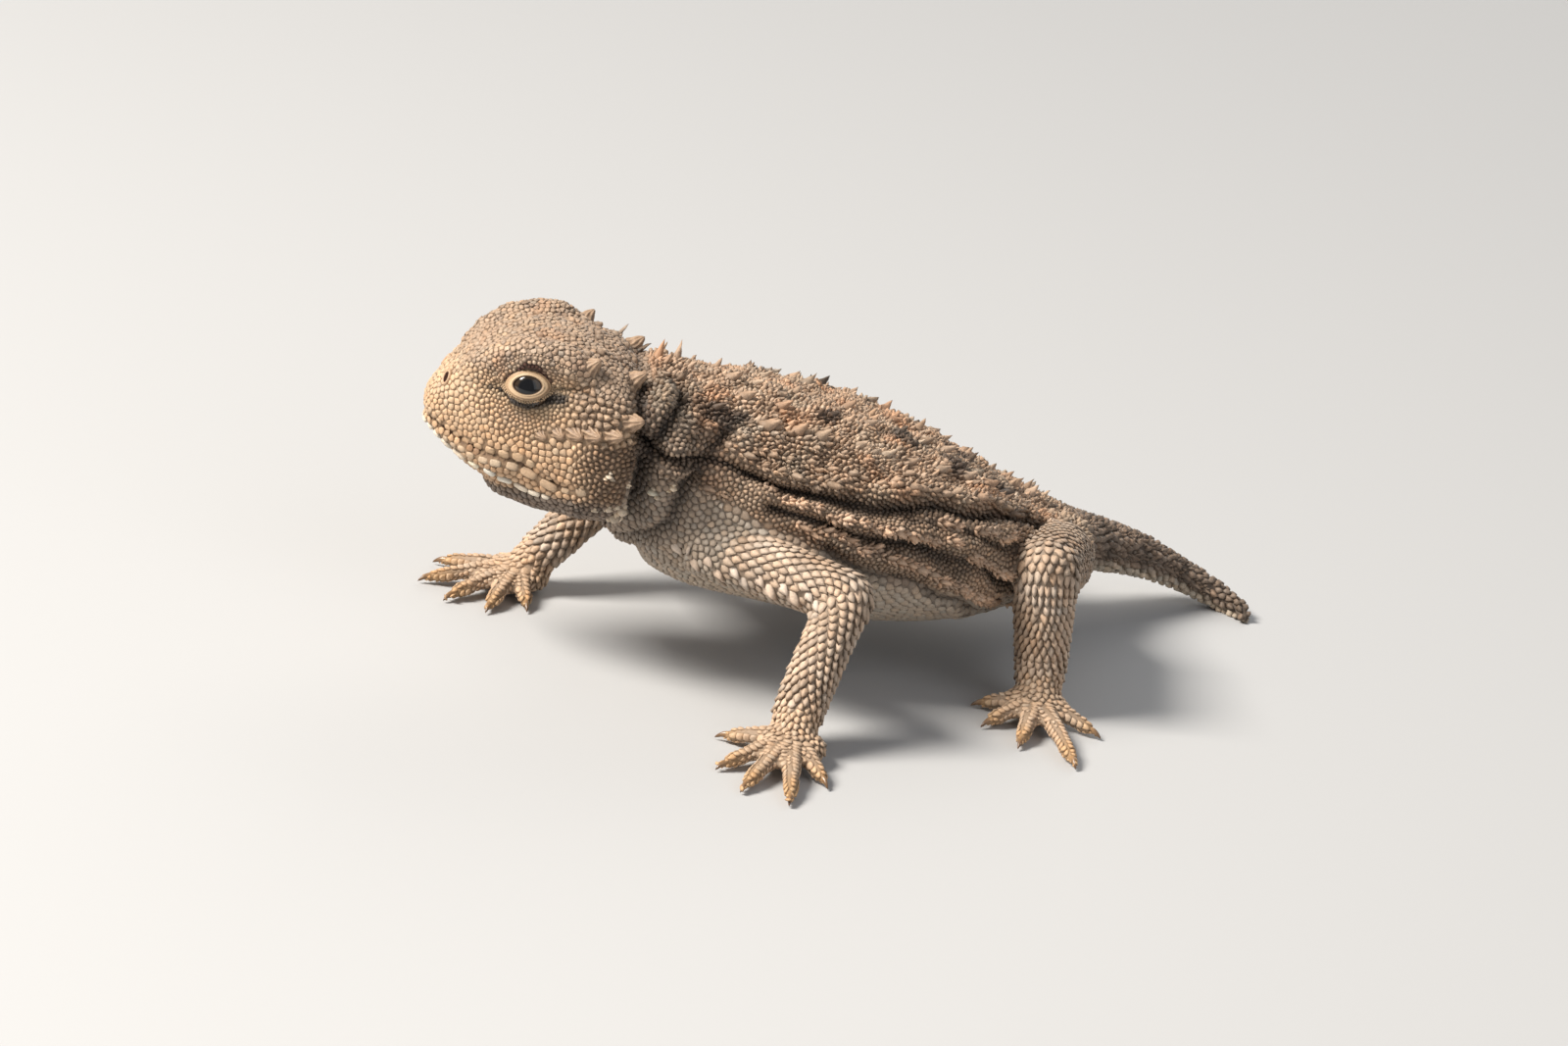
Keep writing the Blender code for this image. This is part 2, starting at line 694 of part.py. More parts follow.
def build_face(head, cutters):
    """Lips with the mouth line cut between them, nostrils, ear openings and jaw scales."""
    tree = surface_of(head)
    raised = [mouth_bar(tree, side * LIP_DISTANCE, LIP_RADIUS, LIP_SINK) for side in (-1, 1)]
    cut = [mouth_bar(tree, 0.0, MOUTH_GROOVE_RADIUS)]
    for side in (1, -1):
        for degrees, rise in JAW_SCALES:
            spot, normal = mouth_spot(tree, side * math.radians(degrees), rise)
            raised.append(cone(spot, normal, JAW_SCALE_HEIGHT, JAW_SCALE_RADIUS, 0.3, 6, 0.4))
        for (x, y, z), (a, b, c) in CHEEK_SPINES:
            lie = head_direction(a, side * b, c)
            spot, _ = surface_spot(tree, head_point(x, side * y, z), lie)
            raised.append(cone(spot, lie, CHEEK_SPINE_LENGTH, SMALL_SPINE_RADIUS))
        for x, y in CROWN_SPINES:
            spot, normal = surface_spot(tree, head_point(x, side * y, 0), head_direction(0, 0, 1))
            lie = normal + head_direction(-0.5, 0, 0)
            raised.append(cone(spot, lie, CROWN_SPINE_LENGTH, SMALL_SPINE_RADIUS))
        for (x, y, z), (a, b, c), radius in (NOSTRIL, EAR):
            lie = head_direction(a, side * b, c)
            spot, _ = surface_spot(tree, head_point(x, side * y, z), lie)
            cut.append(cone(spot, lie, 0.5, radius, radius, 6, 0.45))
    combine(head, raised, "UNION", cutters)
    combine(head, cut, "DIFFERENCE", cutters)
    keep_largest(head)


def build_horns(head, parts, cutters):
    """Each horn stands on the head's surface, cut to its shape with the gap between."""
    tree = surface_of(head)
    for horn in HORNS:
        for side, word in ((1, "left"), (-1, "right")):
            x, y, z = horn.root
            a, b, c = horn.lie
            lie = head_direction(a, side * b, c)
            root, _ = surface_spot(tree, head_point(x, side * y, z), lie)
            form = cone(root, lie, horn.length, horn.radius, 0.1, 8, 0.8)
            name = f"horn_{horn.name}_{word}"
            spike = new_object(name, form, parts)
            combine(spike, [inflated(head, cutters)], "DIFFERENCE", cutters)
            keep_largest(spike)


def trunk_middle(place):
    """Centre of the trunk's section at that place along Y, as its x and z."""
    rows = np.array([section.place for section in TRUNK_SECTIONS[1:-2]])
    return [float(np.interp(place, rows[:, 1], rows[:, axis])) for axis in (0, 2)]


def row_spines(tree, row, draw):
    """Roots and lies of one row's spines on both flanks, staggered and slightly varied."""
    count = max(2, round((row.end - row.start) / row.spacing))
    for side in (1, -1):
        for index in range(count):
            share = (index + 0.5 + draw.uniform(-0.2, 0.2)) / count
            place = row.start + (row.end - row.start) * share
            angle = math.radians(row.angles[0] + (row.angles[1] - row.angles[0]) * share)
            x, z = trunk_middle(place)
            outward = Vector((side * math.cos(angle), 0, math.sin(angle)))
            spot, normal = surface_spot(tree, (x, place, z), outward, 20.0)
            if spot is None:
                continue
            lie = (normal + Vector((0, row.lean, 0))).normalized()
            yield spot, lie, row.length * draw.uniform(0.85, 1.1), row.radius


def has_room(spot, lie, length, others):
    """Whether a spine keeps clear of the other nodes and of the thin cuts beside its own."""
    samples = [Vector(spot) + lie * length * share for share in (0.0, 0.35, 0.7, 1.0)]
    for place, facing in TRUNK_CUTS:
        sides = [(sample - Vector(place)).dot(Vector(facing).normalized()) for sample in samples]
        if min(abs(side) for side in sides) < 0.75 or min(sides) * max(sides) < 0:
            return False
    for tree in others:
        for sample in samples:
            _, _, _, distance = tree.find_nearest(sample)
            if distance < 0.9:
                return False
    return True


def grow(obj, spines, others, cutters):
    """Fuses the spines that have room to the object, their roots sunk in."""
    forms = [
        cone(spot, lie, length, radius)
        for spot, lie, length, radius in spines
        if has_room(spot, lie, length, others)
    ]
    combine(obj, forms, "UNION", cutters)
    keep_largest(obj)


def limb_spines(tree, start, end, rows, draw):
    """Roots and lies of the standing scales along one straight limb segment."""
    axis = (end - start).normalized()
    side = axis.cross(Vector((0, 0, 1))).normalized()
    over = side.cross(axis)
    for degrees, count, length, radius in rows:
        turn = math.radians(degrees)
        outward = -side * math.cos(turn) + over * math.sin(turn)
        for index in range(count):
            spot = start.lerp(end, (index + 0.7) / (count + 0.4))
            hit, normal = surface_spot(tree, spot, outward, 4.0)
            if hit is not None:
                lie = (normal + axis * 0.7).normalized()
                yield hit, lie, length * draw.uniform(0.85, 1.1), radius


def build_spines(parts, cutters):
    """Spines of neck, torso and tail, and the standing scales of the limbs."""
    draw = random.Random(SEED)
    trees = {obj.name: surface_of(obj) for obj in parts.objects}
    for name, rows in (
        ("neck", NECK_ROWS),
        ("torso", TORSO_ROWS),
        ("tail_base", TAIL_BASE_ROWS),
        ("tail_tip", TAIL_TIP_ROWS),
    ):
        others = [tree for key, tree in trees.items() if key != name and key not in TRUNK_NODES]
        spines = [spine for row in rows for spine in row_spines(trees[name], row, draw)]
        grow(parts.objects[name], spines, others, cutters)
    for leg in LEGS:
        joints = [Vector(joint) for joint in leg.joints]
        for index, segment in enumerate(leg.segments[:2]):
            name = f"{segment}_{leg.side}"
            others = [tree for key, tree in trees.items() if key != name]
            start, end = joints[index], joints[index + 1]
            spines = limb_spines(trees[name], start, end, LIMB_ROWS[segment], draw)
            grow(parts.objects[name], spines, others, cutters)


def settle(parts):
    """Moves the model so that the middle of its footprint is at the origin."""
    corners = np.array([vert.co for obj in parts.objects for vert in obj.data.vertices])
    middle = (corners.min(axis=0) + corners.max(axis=0)) / 2
    for obj in parts.objects:
        obj.data.transform(Matrix.Translation((-middle[0], -middle[1], 0)))


def main():
    """Builds the model from an empty scene."""
    for obj in list(bpy.data.objects):
        bpy.data.objects.remove(obj)
    parts = bpy.data.collections.new("horned_lizard")
    cutters = bpy.data.collections.new("cutters")
    bpy.context.scene.collection.children.link(parts)
    bpy.context.scene.collection.children.link(cutters)

    trunk = fuse("trunk", trunk_forms(), TRUNK_TRIANGLES, TRUNK_SOFTENING, parts)
    for leg in LEGS:
        build_leg(leg, trunk, parts, cutters)
    cuts = [slab(place, facing, TRUNK_CUT_RADIUS) for place, facing in TRUNK_CUTS]
    combine(trunk, [floor_block(), *cuts], "DIFFERENCE", cutters)
    part_nodes(trunk, TRUNK_NODES, parts)
    head = parts.objects["head"]
    build_horns(head, parts, cutters)
    build_face(head, cutters)
    build_eyes(head, parts, cutters)
    build_spines(parts, cutters)
    for obj in parts.objects:
        obj.data.shade_smooth()
        obj.data.set_sharp_from_angle(angle=math.radians(40))
        if obj.name.startswith("eye"):
            dress(obj, PUPIL, 0.1)
        elif obj.name.startswith("horn"):
            dress(obj, HORN, 0.5)
        elif obj.name.startswith(("hand", "foot")):
            dress(obj, PALE, 0.6)
        elif obj.name.startswith("tail"):
            dress(obj, SHADE, 0.7)
        else:
            dress(obj, SKIN, 0.7)
    settle(parts)


main()
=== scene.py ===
"""Horned lizard: the looks of a still, life-size museum model, alert on four feet.

The animal faces -Y with its left side at +X. Its own sizes are in millimetres, in the
frame of its body plan, and meet Blender's metres in one place, the Plan class. One skin
covers all the flesh, and thousands of scales, granules and spines are set on it. Skin
and scales take their colours from the same pattern by place, which also carries painted
shade: in the folds, behind the head, round the eyes, along the mouth and between the scales.
"""

from __future__ import annotations

import logging
import math
from dataclasses import dataclass
from enum import Enum
from typing import Callable, Sequence

import bpy
import numpy as np
from mathutils import Matrix, Vector, kdtree
from mathutils.bvhtree import BVHTree


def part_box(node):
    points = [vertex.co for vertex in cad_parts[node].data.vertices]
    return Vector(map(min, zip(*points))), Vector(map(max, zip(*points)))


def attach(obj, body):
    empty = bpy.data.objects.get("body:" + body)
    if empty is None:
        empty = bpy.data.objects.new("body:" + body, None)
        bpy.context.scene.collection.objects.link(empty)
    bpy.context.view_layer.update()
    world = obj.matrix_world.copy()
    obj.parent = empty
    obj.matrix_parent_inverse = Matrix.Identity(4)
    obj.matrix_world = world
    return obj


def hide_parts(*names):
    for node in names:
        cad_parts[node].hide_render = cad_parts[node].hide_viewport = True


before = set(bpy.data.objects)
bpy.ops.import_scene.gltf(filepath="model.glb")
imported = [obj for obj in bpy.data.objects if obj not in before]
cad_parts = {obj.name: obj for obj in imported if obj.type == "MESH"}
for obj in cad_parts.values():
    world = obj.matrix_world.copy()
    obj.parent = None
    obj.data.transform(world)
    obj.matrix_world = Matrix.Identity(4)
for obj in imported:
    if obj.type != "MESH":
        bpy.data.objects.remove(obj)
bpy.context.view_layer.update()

MM = 0.001
SIDES = ((1, "left"), (-1, "right"))
SEED = 31
LOG = logging.getLogger("horned_lizard")

Array = np.ndarray
Row = Sequence[float]
Piece = bpy.types.Object


def unit(vectors: Array) -> Array:
    """Returns the vectors at length one."""
    vectors = np.asarray(vectors, float)
    return vectors / np.maximum(np.linalg.norm(vectors, axis=-1, keepdims=True), 1e-9)


def smooth_curve(rows: Sequence, steps: int) -> Array:
    """Draws a smooth curve through rows of values.

    Args:
        rows: The values to pass through.
        steps: How many steps go from each row to the next.

    Returns:
        The rows of the curve.
    """
    rows = np.asarray(rows, float)
    padded = np.vstack([2 * rows[0] - rows[1], rows, 2 * rows[-1] - rows[-2]])
    curve = []
    for index in range(len(rows) - 1):
        a, b, c, d = padded[index : index + 4]
        for t in np.arange(steps) / steps:
            bend = t * t * (a - 2.5 * b + 2 * c - 0.5 * d)
            curve.append(b + 0.5 * t * (c - a) + bend + t**3 * (1.5 * (b - c) + 0.5 * (d - a)))
    curve.append(rows[-1])
    return np.array(curve)


def ramp(values: Array, low: float, high: float) -> Array:
    """Rises smoothly from 0 at low to 1 at high, or falls where low is the larger."""
    share = np.clip((values - low) / (high - low), 0.0, 1.0)
    return share * share * (3 - 2 * share)


def mottle(points: Array, size: float, seed: int, waves: int = 9) -> Array:
    """Smooth seeded pattern between about -1 and 1.

    Args:
        points: Places in millimetres.
        size: Rough size of its spots, in millimetres.
        seed: Which pattern it is.
        waves: How many waves are added up.

    Returns:
        The pattern's value at each place.
    """
    draw = np.random.default_rng(seed)
    ways = unit(draw.normal(size=(waves, 3))) * (math.pi / size) * draw.uniform(0.6, 1.5, (waves, 1))
    phases = draw.uniform(0, 2 * math.pi, waves)
    return np.sin(points @ ways.T + phases).sum(axis=1) / math.sqrt(waves)


def flattened(lies: Array, normals: Array) -> Array:
    """Returns directions with what runs along the normals taken out."""
    return lies - (lies * normals).sum(axis=1, keepdims=True) * normals


def spots(points: Array, size: float, seed: int, low: float, high: float) -> Array:
    """Returns a mottle that rises from 0 at low to 1 at high."""
    return ramp(mottle(points, size, seed), low, high)


def lengths(vectors: Array) -> Array:
    """Returns the vectors' lengths."""
    return np.linalg.norm(vectors, axis=1)


def run_of(points: Array) -> Array:
    """Returns how far along a line of straight steps each of its points lies."""
    return np.concatenate([[0.0], np.cumsum(lengths(np.diff(points, axis=0)))])


def path_distance(points: Array, path: Array) -> Array:
    """Returns each point's distance to a line of straight steps."""
    nearest = np.full(len(points), np.inf)
    for start, end in zip(path[:-1], path[1:]):
        run = end - start
        share = np.clip(((points - start) @ run) / (run @ run), 0.0, 1.0)
        nearest = np.minimum(nearest, lengths(points - start - share[:, None] * run))
    return nearest


def painted(base: Row | Array, *layers: tuple) -> Array:
    """Lays colours over a base one after the other, each by its share at each point."""
    for colour, share in layers:
        share = np.clip(share, 0, 1)[:, None]
        base = np.asarray(base) * (1 - share) + np.asarray(colour) * share
    return base


def tree_of(points: Array) -> kdtree.KDTree:
    """Returns a search tree over points."""
    tree = kdtree.KDTree(len(points))
    for index, point in enumerate(points.tolist()):
        tree.insert(point, index)
    tree.balance()
    return tree


@dataclass(frozen=True)
class HeadAxes:
    """The head's own axes, forward, left and up, from the tip of the snout."""

    snout_tip: tuple = (-7.65, -16.57, 14.2)
    turn: float = 31.9
    dip: float = 8.4

    def matrix(self) -> Array:
        """Returns the axes as rows: forward, left and up."""
        turn, dip = math.radians(self.turn), math.radians(self.dip)
        level = np.array([-math.sin(turn), -math.cos(turn), 0.0])
        left = np.array([math.cos(turn), -math.sin(turn), 0.0])
        forward = level * math.cos(dip) - np.array([0.0, 0.0, math.sin(dip)])
        return np.array([forward, left, np.cross(forward, left)])

    def point(self, place: Row, side: int = 1) -> Array:
        """Returns the body place of one given along the head's axes, mirrored at side -1."""
        return np.array(self.snout_tip) + (np.asarray(place, float) * (1, side, 1)) @ self.matrix()

    def direction(self, way: Row, side: int = 1) -> Array:
        """Returns the body direction of one given along the head's axes, mirrored at side -1."""
        return unit((np.asarray(way, float) * (1, side, 1)) @ self.matrix())

    def local(self, points: Array) -> Array:
        """Returns body places along the head's axes."""
        return (points - np.array(self.snout_tip)) @ self.matrix().T


@dataclass(frozen=True)
class Limb:
    """One leg: its joints, the radius at each, and the ends of its digits on the floor."""

    name: str
    side: int
    joints: tuple
    radii: tuple
    digits: tuple

    def bones(self) -> list[tuple]:
        """Returns the straight lengths of the leg as start, end and the radius at each."""
        root, bend, wrist, palm = (np.array(joint) for joint in self.joints)
        widest, thick, slim, end = self.radii
        bones = [(root, bend, widest, thick), (bend, wrist, thick, slim), (wrist, palm, slim, end * 1.3)]
        base = np.array([palm[0], palm[1], 0.9])
        return bones + [(base, np.array([*tip, 0.3]), 0.75, 0.45) for tip in self.digits]


@dataclass(frozen=True)
class Plan:
    """The body plan: the sections and joints that the solids were made from."""

    head: HeadAxes = HeadAxes()
    # The head from the snout back, along its own axes: forward, up, half width, rise and fall.
    head_sections: tuple = (
        (0.25, -0.2, 0.2, 0.2, 0.2), (0.0, -0.2, 1.3, 0.9, 1.1), (-0.9, 0.0, 2.2, 1.9, 1.9),
        (-2.2, 0.2, 3.0, 3.1, 3.2), (-4.0, 0.3, 3.9, 4.6, 4.2), (-6.5, 0.2, 4.7, 5.2, 5.2),
        (-9.0, 0.0, 5.5, 4.9, 6.2), (-11.0, -0.3, 5.9, 4.3, 6.2), (-12.8, -0.5, 5.2, 3.7, 6.0),
        (-14.6, -0.9, 4.6, 3.2, 5.0), (-16.0, -1.2, 3.4, 2.6, 4.0), (-16.6, -1.2, 0.5, 0.5, 0.5),
    )
    head_power: float = 2.9
    # Forward, left, up and radius; cheek and throat are a place and half sizes.
    brow_ridge: tuple = (
        (-1.4, 1.2, 1.4, 0.5), (-2.9, 2.3, 2.9, 1.0), (-5.0, 3.3, 4.2, 1.2),
        (-7.2, 3.9, 4.4, 1.2), (-9.0, 4.2, 3.9, 1.0), (-10.2, 4.2, 3.0, 0.5),
    )
    cheek: tuple = ((-10.2, 3.7, -0.6), (2.6, 2.3, 2.6))
    throat: tuple = ((-9.0, 0.0, -4.0), (5.2, 4.2, 2.4))
    # Neck, trunk and tail: the centre, half width, rise and fall of each section.
    trunk_sections: tuple = (
        (-2.4, -8.4, 15.8, 0.4, 0.4, 0.4), (-2.0, -7.6, 15.5, 4.2, 3.6, 4.8),
        (-1.2, -5.0, 14.8, 5.0, 4.3, 5.8), (-0.8, -2.0, 13.6, 6.0, 5.2, 6.9),
        (-0.5, 1.0, 12.3, 7.3, 5.8, 7.4), (-0.4, 5.0, 11.1, 9.1, 6.2, 7.0), (-0.4, 9.5, 10.0, 10.2, 6.2, 6.8),
        (-0.5, 14.0, 9.0, 10.3, 5.8, 6.2), (-0.7, 18.2, 8.1, 9.3, 5.0, 5.4),
        (-1.0, 22.0, 7.2, 7.4, 4.0, 4.4), (-1.5, 25.5, 6.6, 5.4, 3.2, 3.5), (-2.0, 29.0, 6.0, 3.8, 2.5, 2.6),
        (-2.6, 32.4, 5.3, 2.6, 1.9, 1.9), (-3.0, 36.0, 4.5, 2.1, 1.6, 1.6), (-3.1, 40.0, 3.4, 1.6, 1.3, 1.3),
        (-2.8, 43.4, 2.1, 1.2, 1.0, 1.0), (-1.7, 45.9, 1.0, 0.9, 0.8, 0.8), (-0.2, 46.8, 0.5, 0.65, 0.6, 0.7),
        (0.8, 46.6, 0.35, 0.45, 0.4, 0.5), (1.5, 46.1, 0.25, 0.1, 0.1, 0.1),
    )
    trunk_power: float = 2.2
    neck_cut: tuple = ((-1.0, -5.9, 14.6), (-0.52, -0.84, 0.06))
    tail_start: float = 30.4
    eye_place: tuple = (-6.05, 3.3, 2.35)
    eye_radius: float = 1.65
    eye_facing: tuple = (0.12, 0.95, 0.28)
    palm_size: tuple = (2.1, 2.1, 1.0)
    digit_radius: float = 0.56
    claw_length: float = 1.1
    limbs: tuple = (
        Limb(
            "foreleg_left", 1,
            ((3.6, -2.6, 9.1), (11.4, 3.0, 8.5), (14.0, -0.9, 2.3), (15.3, -2.0, 0.9)),
            (1.95, 1.72, 1.45, 1.1),
            ((12.0, -5.4), (16.4, -8.4), (19.6, -8.8), (21.9, -6.8), (20.2, -2.6)),
        ),
        Limb(
            "foreleg_right", -1,
            ((-4.2, -0.8, 10.2), (-11.6, 3.2, 7.6), (-11.0, -3.2, 2.3), (-11.4, -4.4, 0.9)),
            (2.0, 1.75, 1.35, 1.1),
            ((-6.9, -6.4), (-7.2, -9.4), (-9.4, -11.2), (-12.6, -11.1), (-15.4, -8.2)),
        ),
        Limb(
            "hindleg_left", 1,
            ((3.2, 26.4, 6.7), (10.0, 19.8, 9.0), (11.4, 20.0, 2.4), (12.6, 19.2, 0.9)),
            (2.6, 2.1, 1.5, 1.1),
            ((10.4, 15.6), (13.6, 14.0), (17.0, 14.4), (20.4, 16.4), (16.6, 21.6)),
        ),
        Limb(
            "hindleg_right", -1,
            ((-4.6, 26.4, 6.7), (-12.2, 20.6, 8.8), (-13.4, 21.6, 2.4), (-14.4, 20.6, 0.9)),
            (2.6, 2.1, 1.5, 1.1),
            ((-12.4, 16.6), (-15.2, 15.2), (-18.4, 15.4), (-21.8, 17.4), (-18.6, 22.4)),
        ),
    )

    def offset(self) -> Array:
        """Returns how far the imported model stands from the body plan, in millimetres."""
        low, high = (np.array(corner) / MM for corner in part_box("eye_left"))
        return (low + high) / 2 - self.head.point(self.eye_place)

    def to_scene(self, points: Array) -> Array:
        """Returns places of the body plan as scene places in metres."""
        return (np.asarray(points, float) + self.offset()) * MM

    def to_plan(self, points: Array) -> Array:
        """Returns scene places in metres as places of the body plan."""
        return np.asarray(points, float) / MM - self.offset()

    def eye_axes(self, side: int) -> tuple:
        """Returns an eye's centre and the directions it faces, runs along and goes up."""
        facing = self.head.direction(self.eye_facing, side)
        along = unit(np.cross(facing, self.head.direction((0, 0, 1))))
        return self.head.point(self.eye_place, side), facing, along, np.cross(along, facing)


PLAN = Plan()


class Shape(Enum):
    """The forms that a scale can take."""

    GRANULE = "granule"
    BEAD = "bead"
    PLATE = "plate"
    LEAF = "leaf"
    KEELED = "keeled"
    THORN = "thorn"
    KNOB = "knob"
    POINTED = "pointed"


class Region(Enum):
    """The stretches of the body that scales differ between."""

    HEAD = 0
    TRUNK = 1
    TAIL = 2
    UPPER = 3
    LOWER = 4
    PAW = 5
    DIGIT = 6


@dataclass
class Mesh:
    """A mesh being made: an object, read and written as arrays in body plan millimetres."""

    obj: Piece

    def values(self, what: str = "co") -> Array:
        """Returns what Blender holds for each point: its co or its normal."""
        values = np.empty(len(self.obj.data.vertices) * 3)
        self.obj.data.vertices.foreach_get(what, values)
        return values.reshape(-1, 3)

    def read(self) -> Array:
        """Returns the places of the mesh's points."""
        return PLAN.to_plan(self.values())

    def normals(self) -> Array:
        """Returns the normals at the mesh's points."""
        return self.values("normal")

    def write(self, points: Array) -> None:
        """Moves the mesh's points to these places."""
        self.obj.data.vertices.foreach_set("co", PLAN.to_scene(points).ravel())
        self.obj.data.update()

    def colour(self, colours: Array) -> None:
        """Stores one colour for each point in the attribute that the materials read."""
        # The stored colours carry the pattern and the painted shade laid into it.
        layer = self.obj.data.color_attributes.new("markings", "FLOAT_COLOR", "POINT")
        rows = np.concatenate([colours, np.ones((len(colours), 1))], axis=1)
        layer.data.foreach_set("color", rows.astype(np.float32).ravel())

    def complete(self, name: str, colours: Array) -> Piece:
        """Names the piece, colours its points, or all of it with one colour, and shades it smooth."""
        self.obj.name = self.obj.data.name = name
        self.colour(np.broadcast_to(colours, (len(self.obj.data.vertices), 3)))
        self.obj.data.shade_smooth()
        return self.obj

    def apply_modifiers(self) -> None:
        """Applies every modifier in order."""
        select(self.obj)
        for modifier in list(self.obj.modifiers):
            bpy.ops.object.modifier_apply(modifier=modifier.name)


def select(*objects: Piece) -> None:
    """Deselects everything but these objects, and makes the first of them the active one."""
    bpy.ops.object.select_all(action="DESELECT")
    for obj in objects:
        obj.select_set(True)
    if objects:
        bpy.context.view_layer.objects.active = objects[0]


def sphere(segments: int, rings: int) -> tuple[Piece, Array]:
    """Adds a sphere with a radius of one, and returns its points too."""
    select()
    bpy.ops.mesh.primitive_uv_sphere_add(segments=segments, ring_count=rings)
    return bpy.context.object, Mesh(bpy.context.object).values()


def torus(segments: int, sides: int, thick: float) -> tuple[Piece, Array]:
    """Adds a ring with a radius of one and a band of that thickness, and returns its points too."""
    select()
    bpy.ops.mesh.primitive_torus_add(
        major_segments=segments, minor_segments=sides, major_radius=1.0, minor_radius=thick
    )
    return bpy.context.object, Mesh(bpy.context.object).values()


def loft(rows: Sequence, sides: int, steps: int, power: float = 2.0, upright: Row = (0, 0, 1)) -> Piece:
    """Makes a closed body on a smooth curve of sections.

    Args:
        rows: For each section its centre, half width, rise and fall.
        sides: How many sides the sections have.
        steps: How many sections go from each row to the next.
        power: How square the sections are, from 2 for an ellipse.
        upright: The direction that the rise is closest to.

    Returns:
        The new object: a sphere with its rings moved onto the sections.
    """
    curve = smooth_curve(rows, steps)
    last = len(curve) - 1
    obj, points = sphere(sides, last)
    ring = np.rint(np.arccos(np.clip(points[:, 2], -1, 1)) / math.pi * last).astype(int)
    tangents = np.gradient(curve[:, :3], axis=0)
    side = unit(np.cross(tangents, upright))
    up = unit(np.cross(side, tangents))
    reach = np.maximum(np.hypot(points[:, 0], points[:, 1]), 1e-9)
    across, above = points[:, 0] / reach, points[:, 1] / reach
    width, rise, fall = curve[ring, 3], curve[ring, 4], curve[ring, 5]
    inner = ~np.isin(ring, (0, last))
    x = np.sign(across) * np.abs(across) ** (2 / power) * width * inner
    z = np.sign(above) * np.abs(above) ** (2 / power) * np.where(above > 0, rise, fall) * inner
    Mesh(obj).write(curve[ring, :3] + side[ring] * x[:, None] + up[ring] * z[:, None])
    return obj


def rod(rows: Sequence, sides: int = 16, steps: int = 4, upright: Row = (0, 0, 1)) -> Piece:
    """Makes a round loft from rows of x, y, z and radius, as loft does."""
    return loft([(*row[:3], row[3], row[3], row[3]) for row in rows], sides, steps, 2.0, upright)


def ball(centre: Row, sizes: Row, axes: Array | None = None, segments: int = 24) -> Piece:
    """Makes an ellipsoid with its half sizes along the rows of axes."""
    obj, points = sphere(segments, segments * 2 // 3)
    turn = np.eye(3) if axes is None else axes
    Mesh(obj).write(np.asarray(centre) + (points * np.asarray(sizes)) @ turn)
    return obj


def join(objects: Sequence[Piece], name: str) -> Piece:
    """Joins the objects into the first and names it."""
    select(*objects)
    bpy.ops.object.join()
    objects[0].name = objects[0].data.name = name
    return objects[0]


@dataclass
class Reading:
    """Where points lie on the body.

    Attributes:
        region: The number of each point's region.
        limb: The number of its leg, or -1.
        local: Its place along the head's axes.
        place: Its place along the trunk, as the y of the section it is on.
        angle: Its angle up from the widest line of that section, in degrees.
        along: How far along its bone it lies, from 0 to 1.
        lie: The direction that scales point there.
        chart: Its place on an unwrap of the skin.
        wander: A smooth pattern between about -1 and 1 that makes folds uneven.
    """

    region: Array
    limb: Array
    local: Array
    place: Array
    angle: Array
    along: Array
    lie: Array
    chart: Array
    wander: Array

    def on(self, *regions: Region) -> Array:
        """Returns which points lie on any of these regions."""
        return np.isin(self.region, [region.value for region in regions])


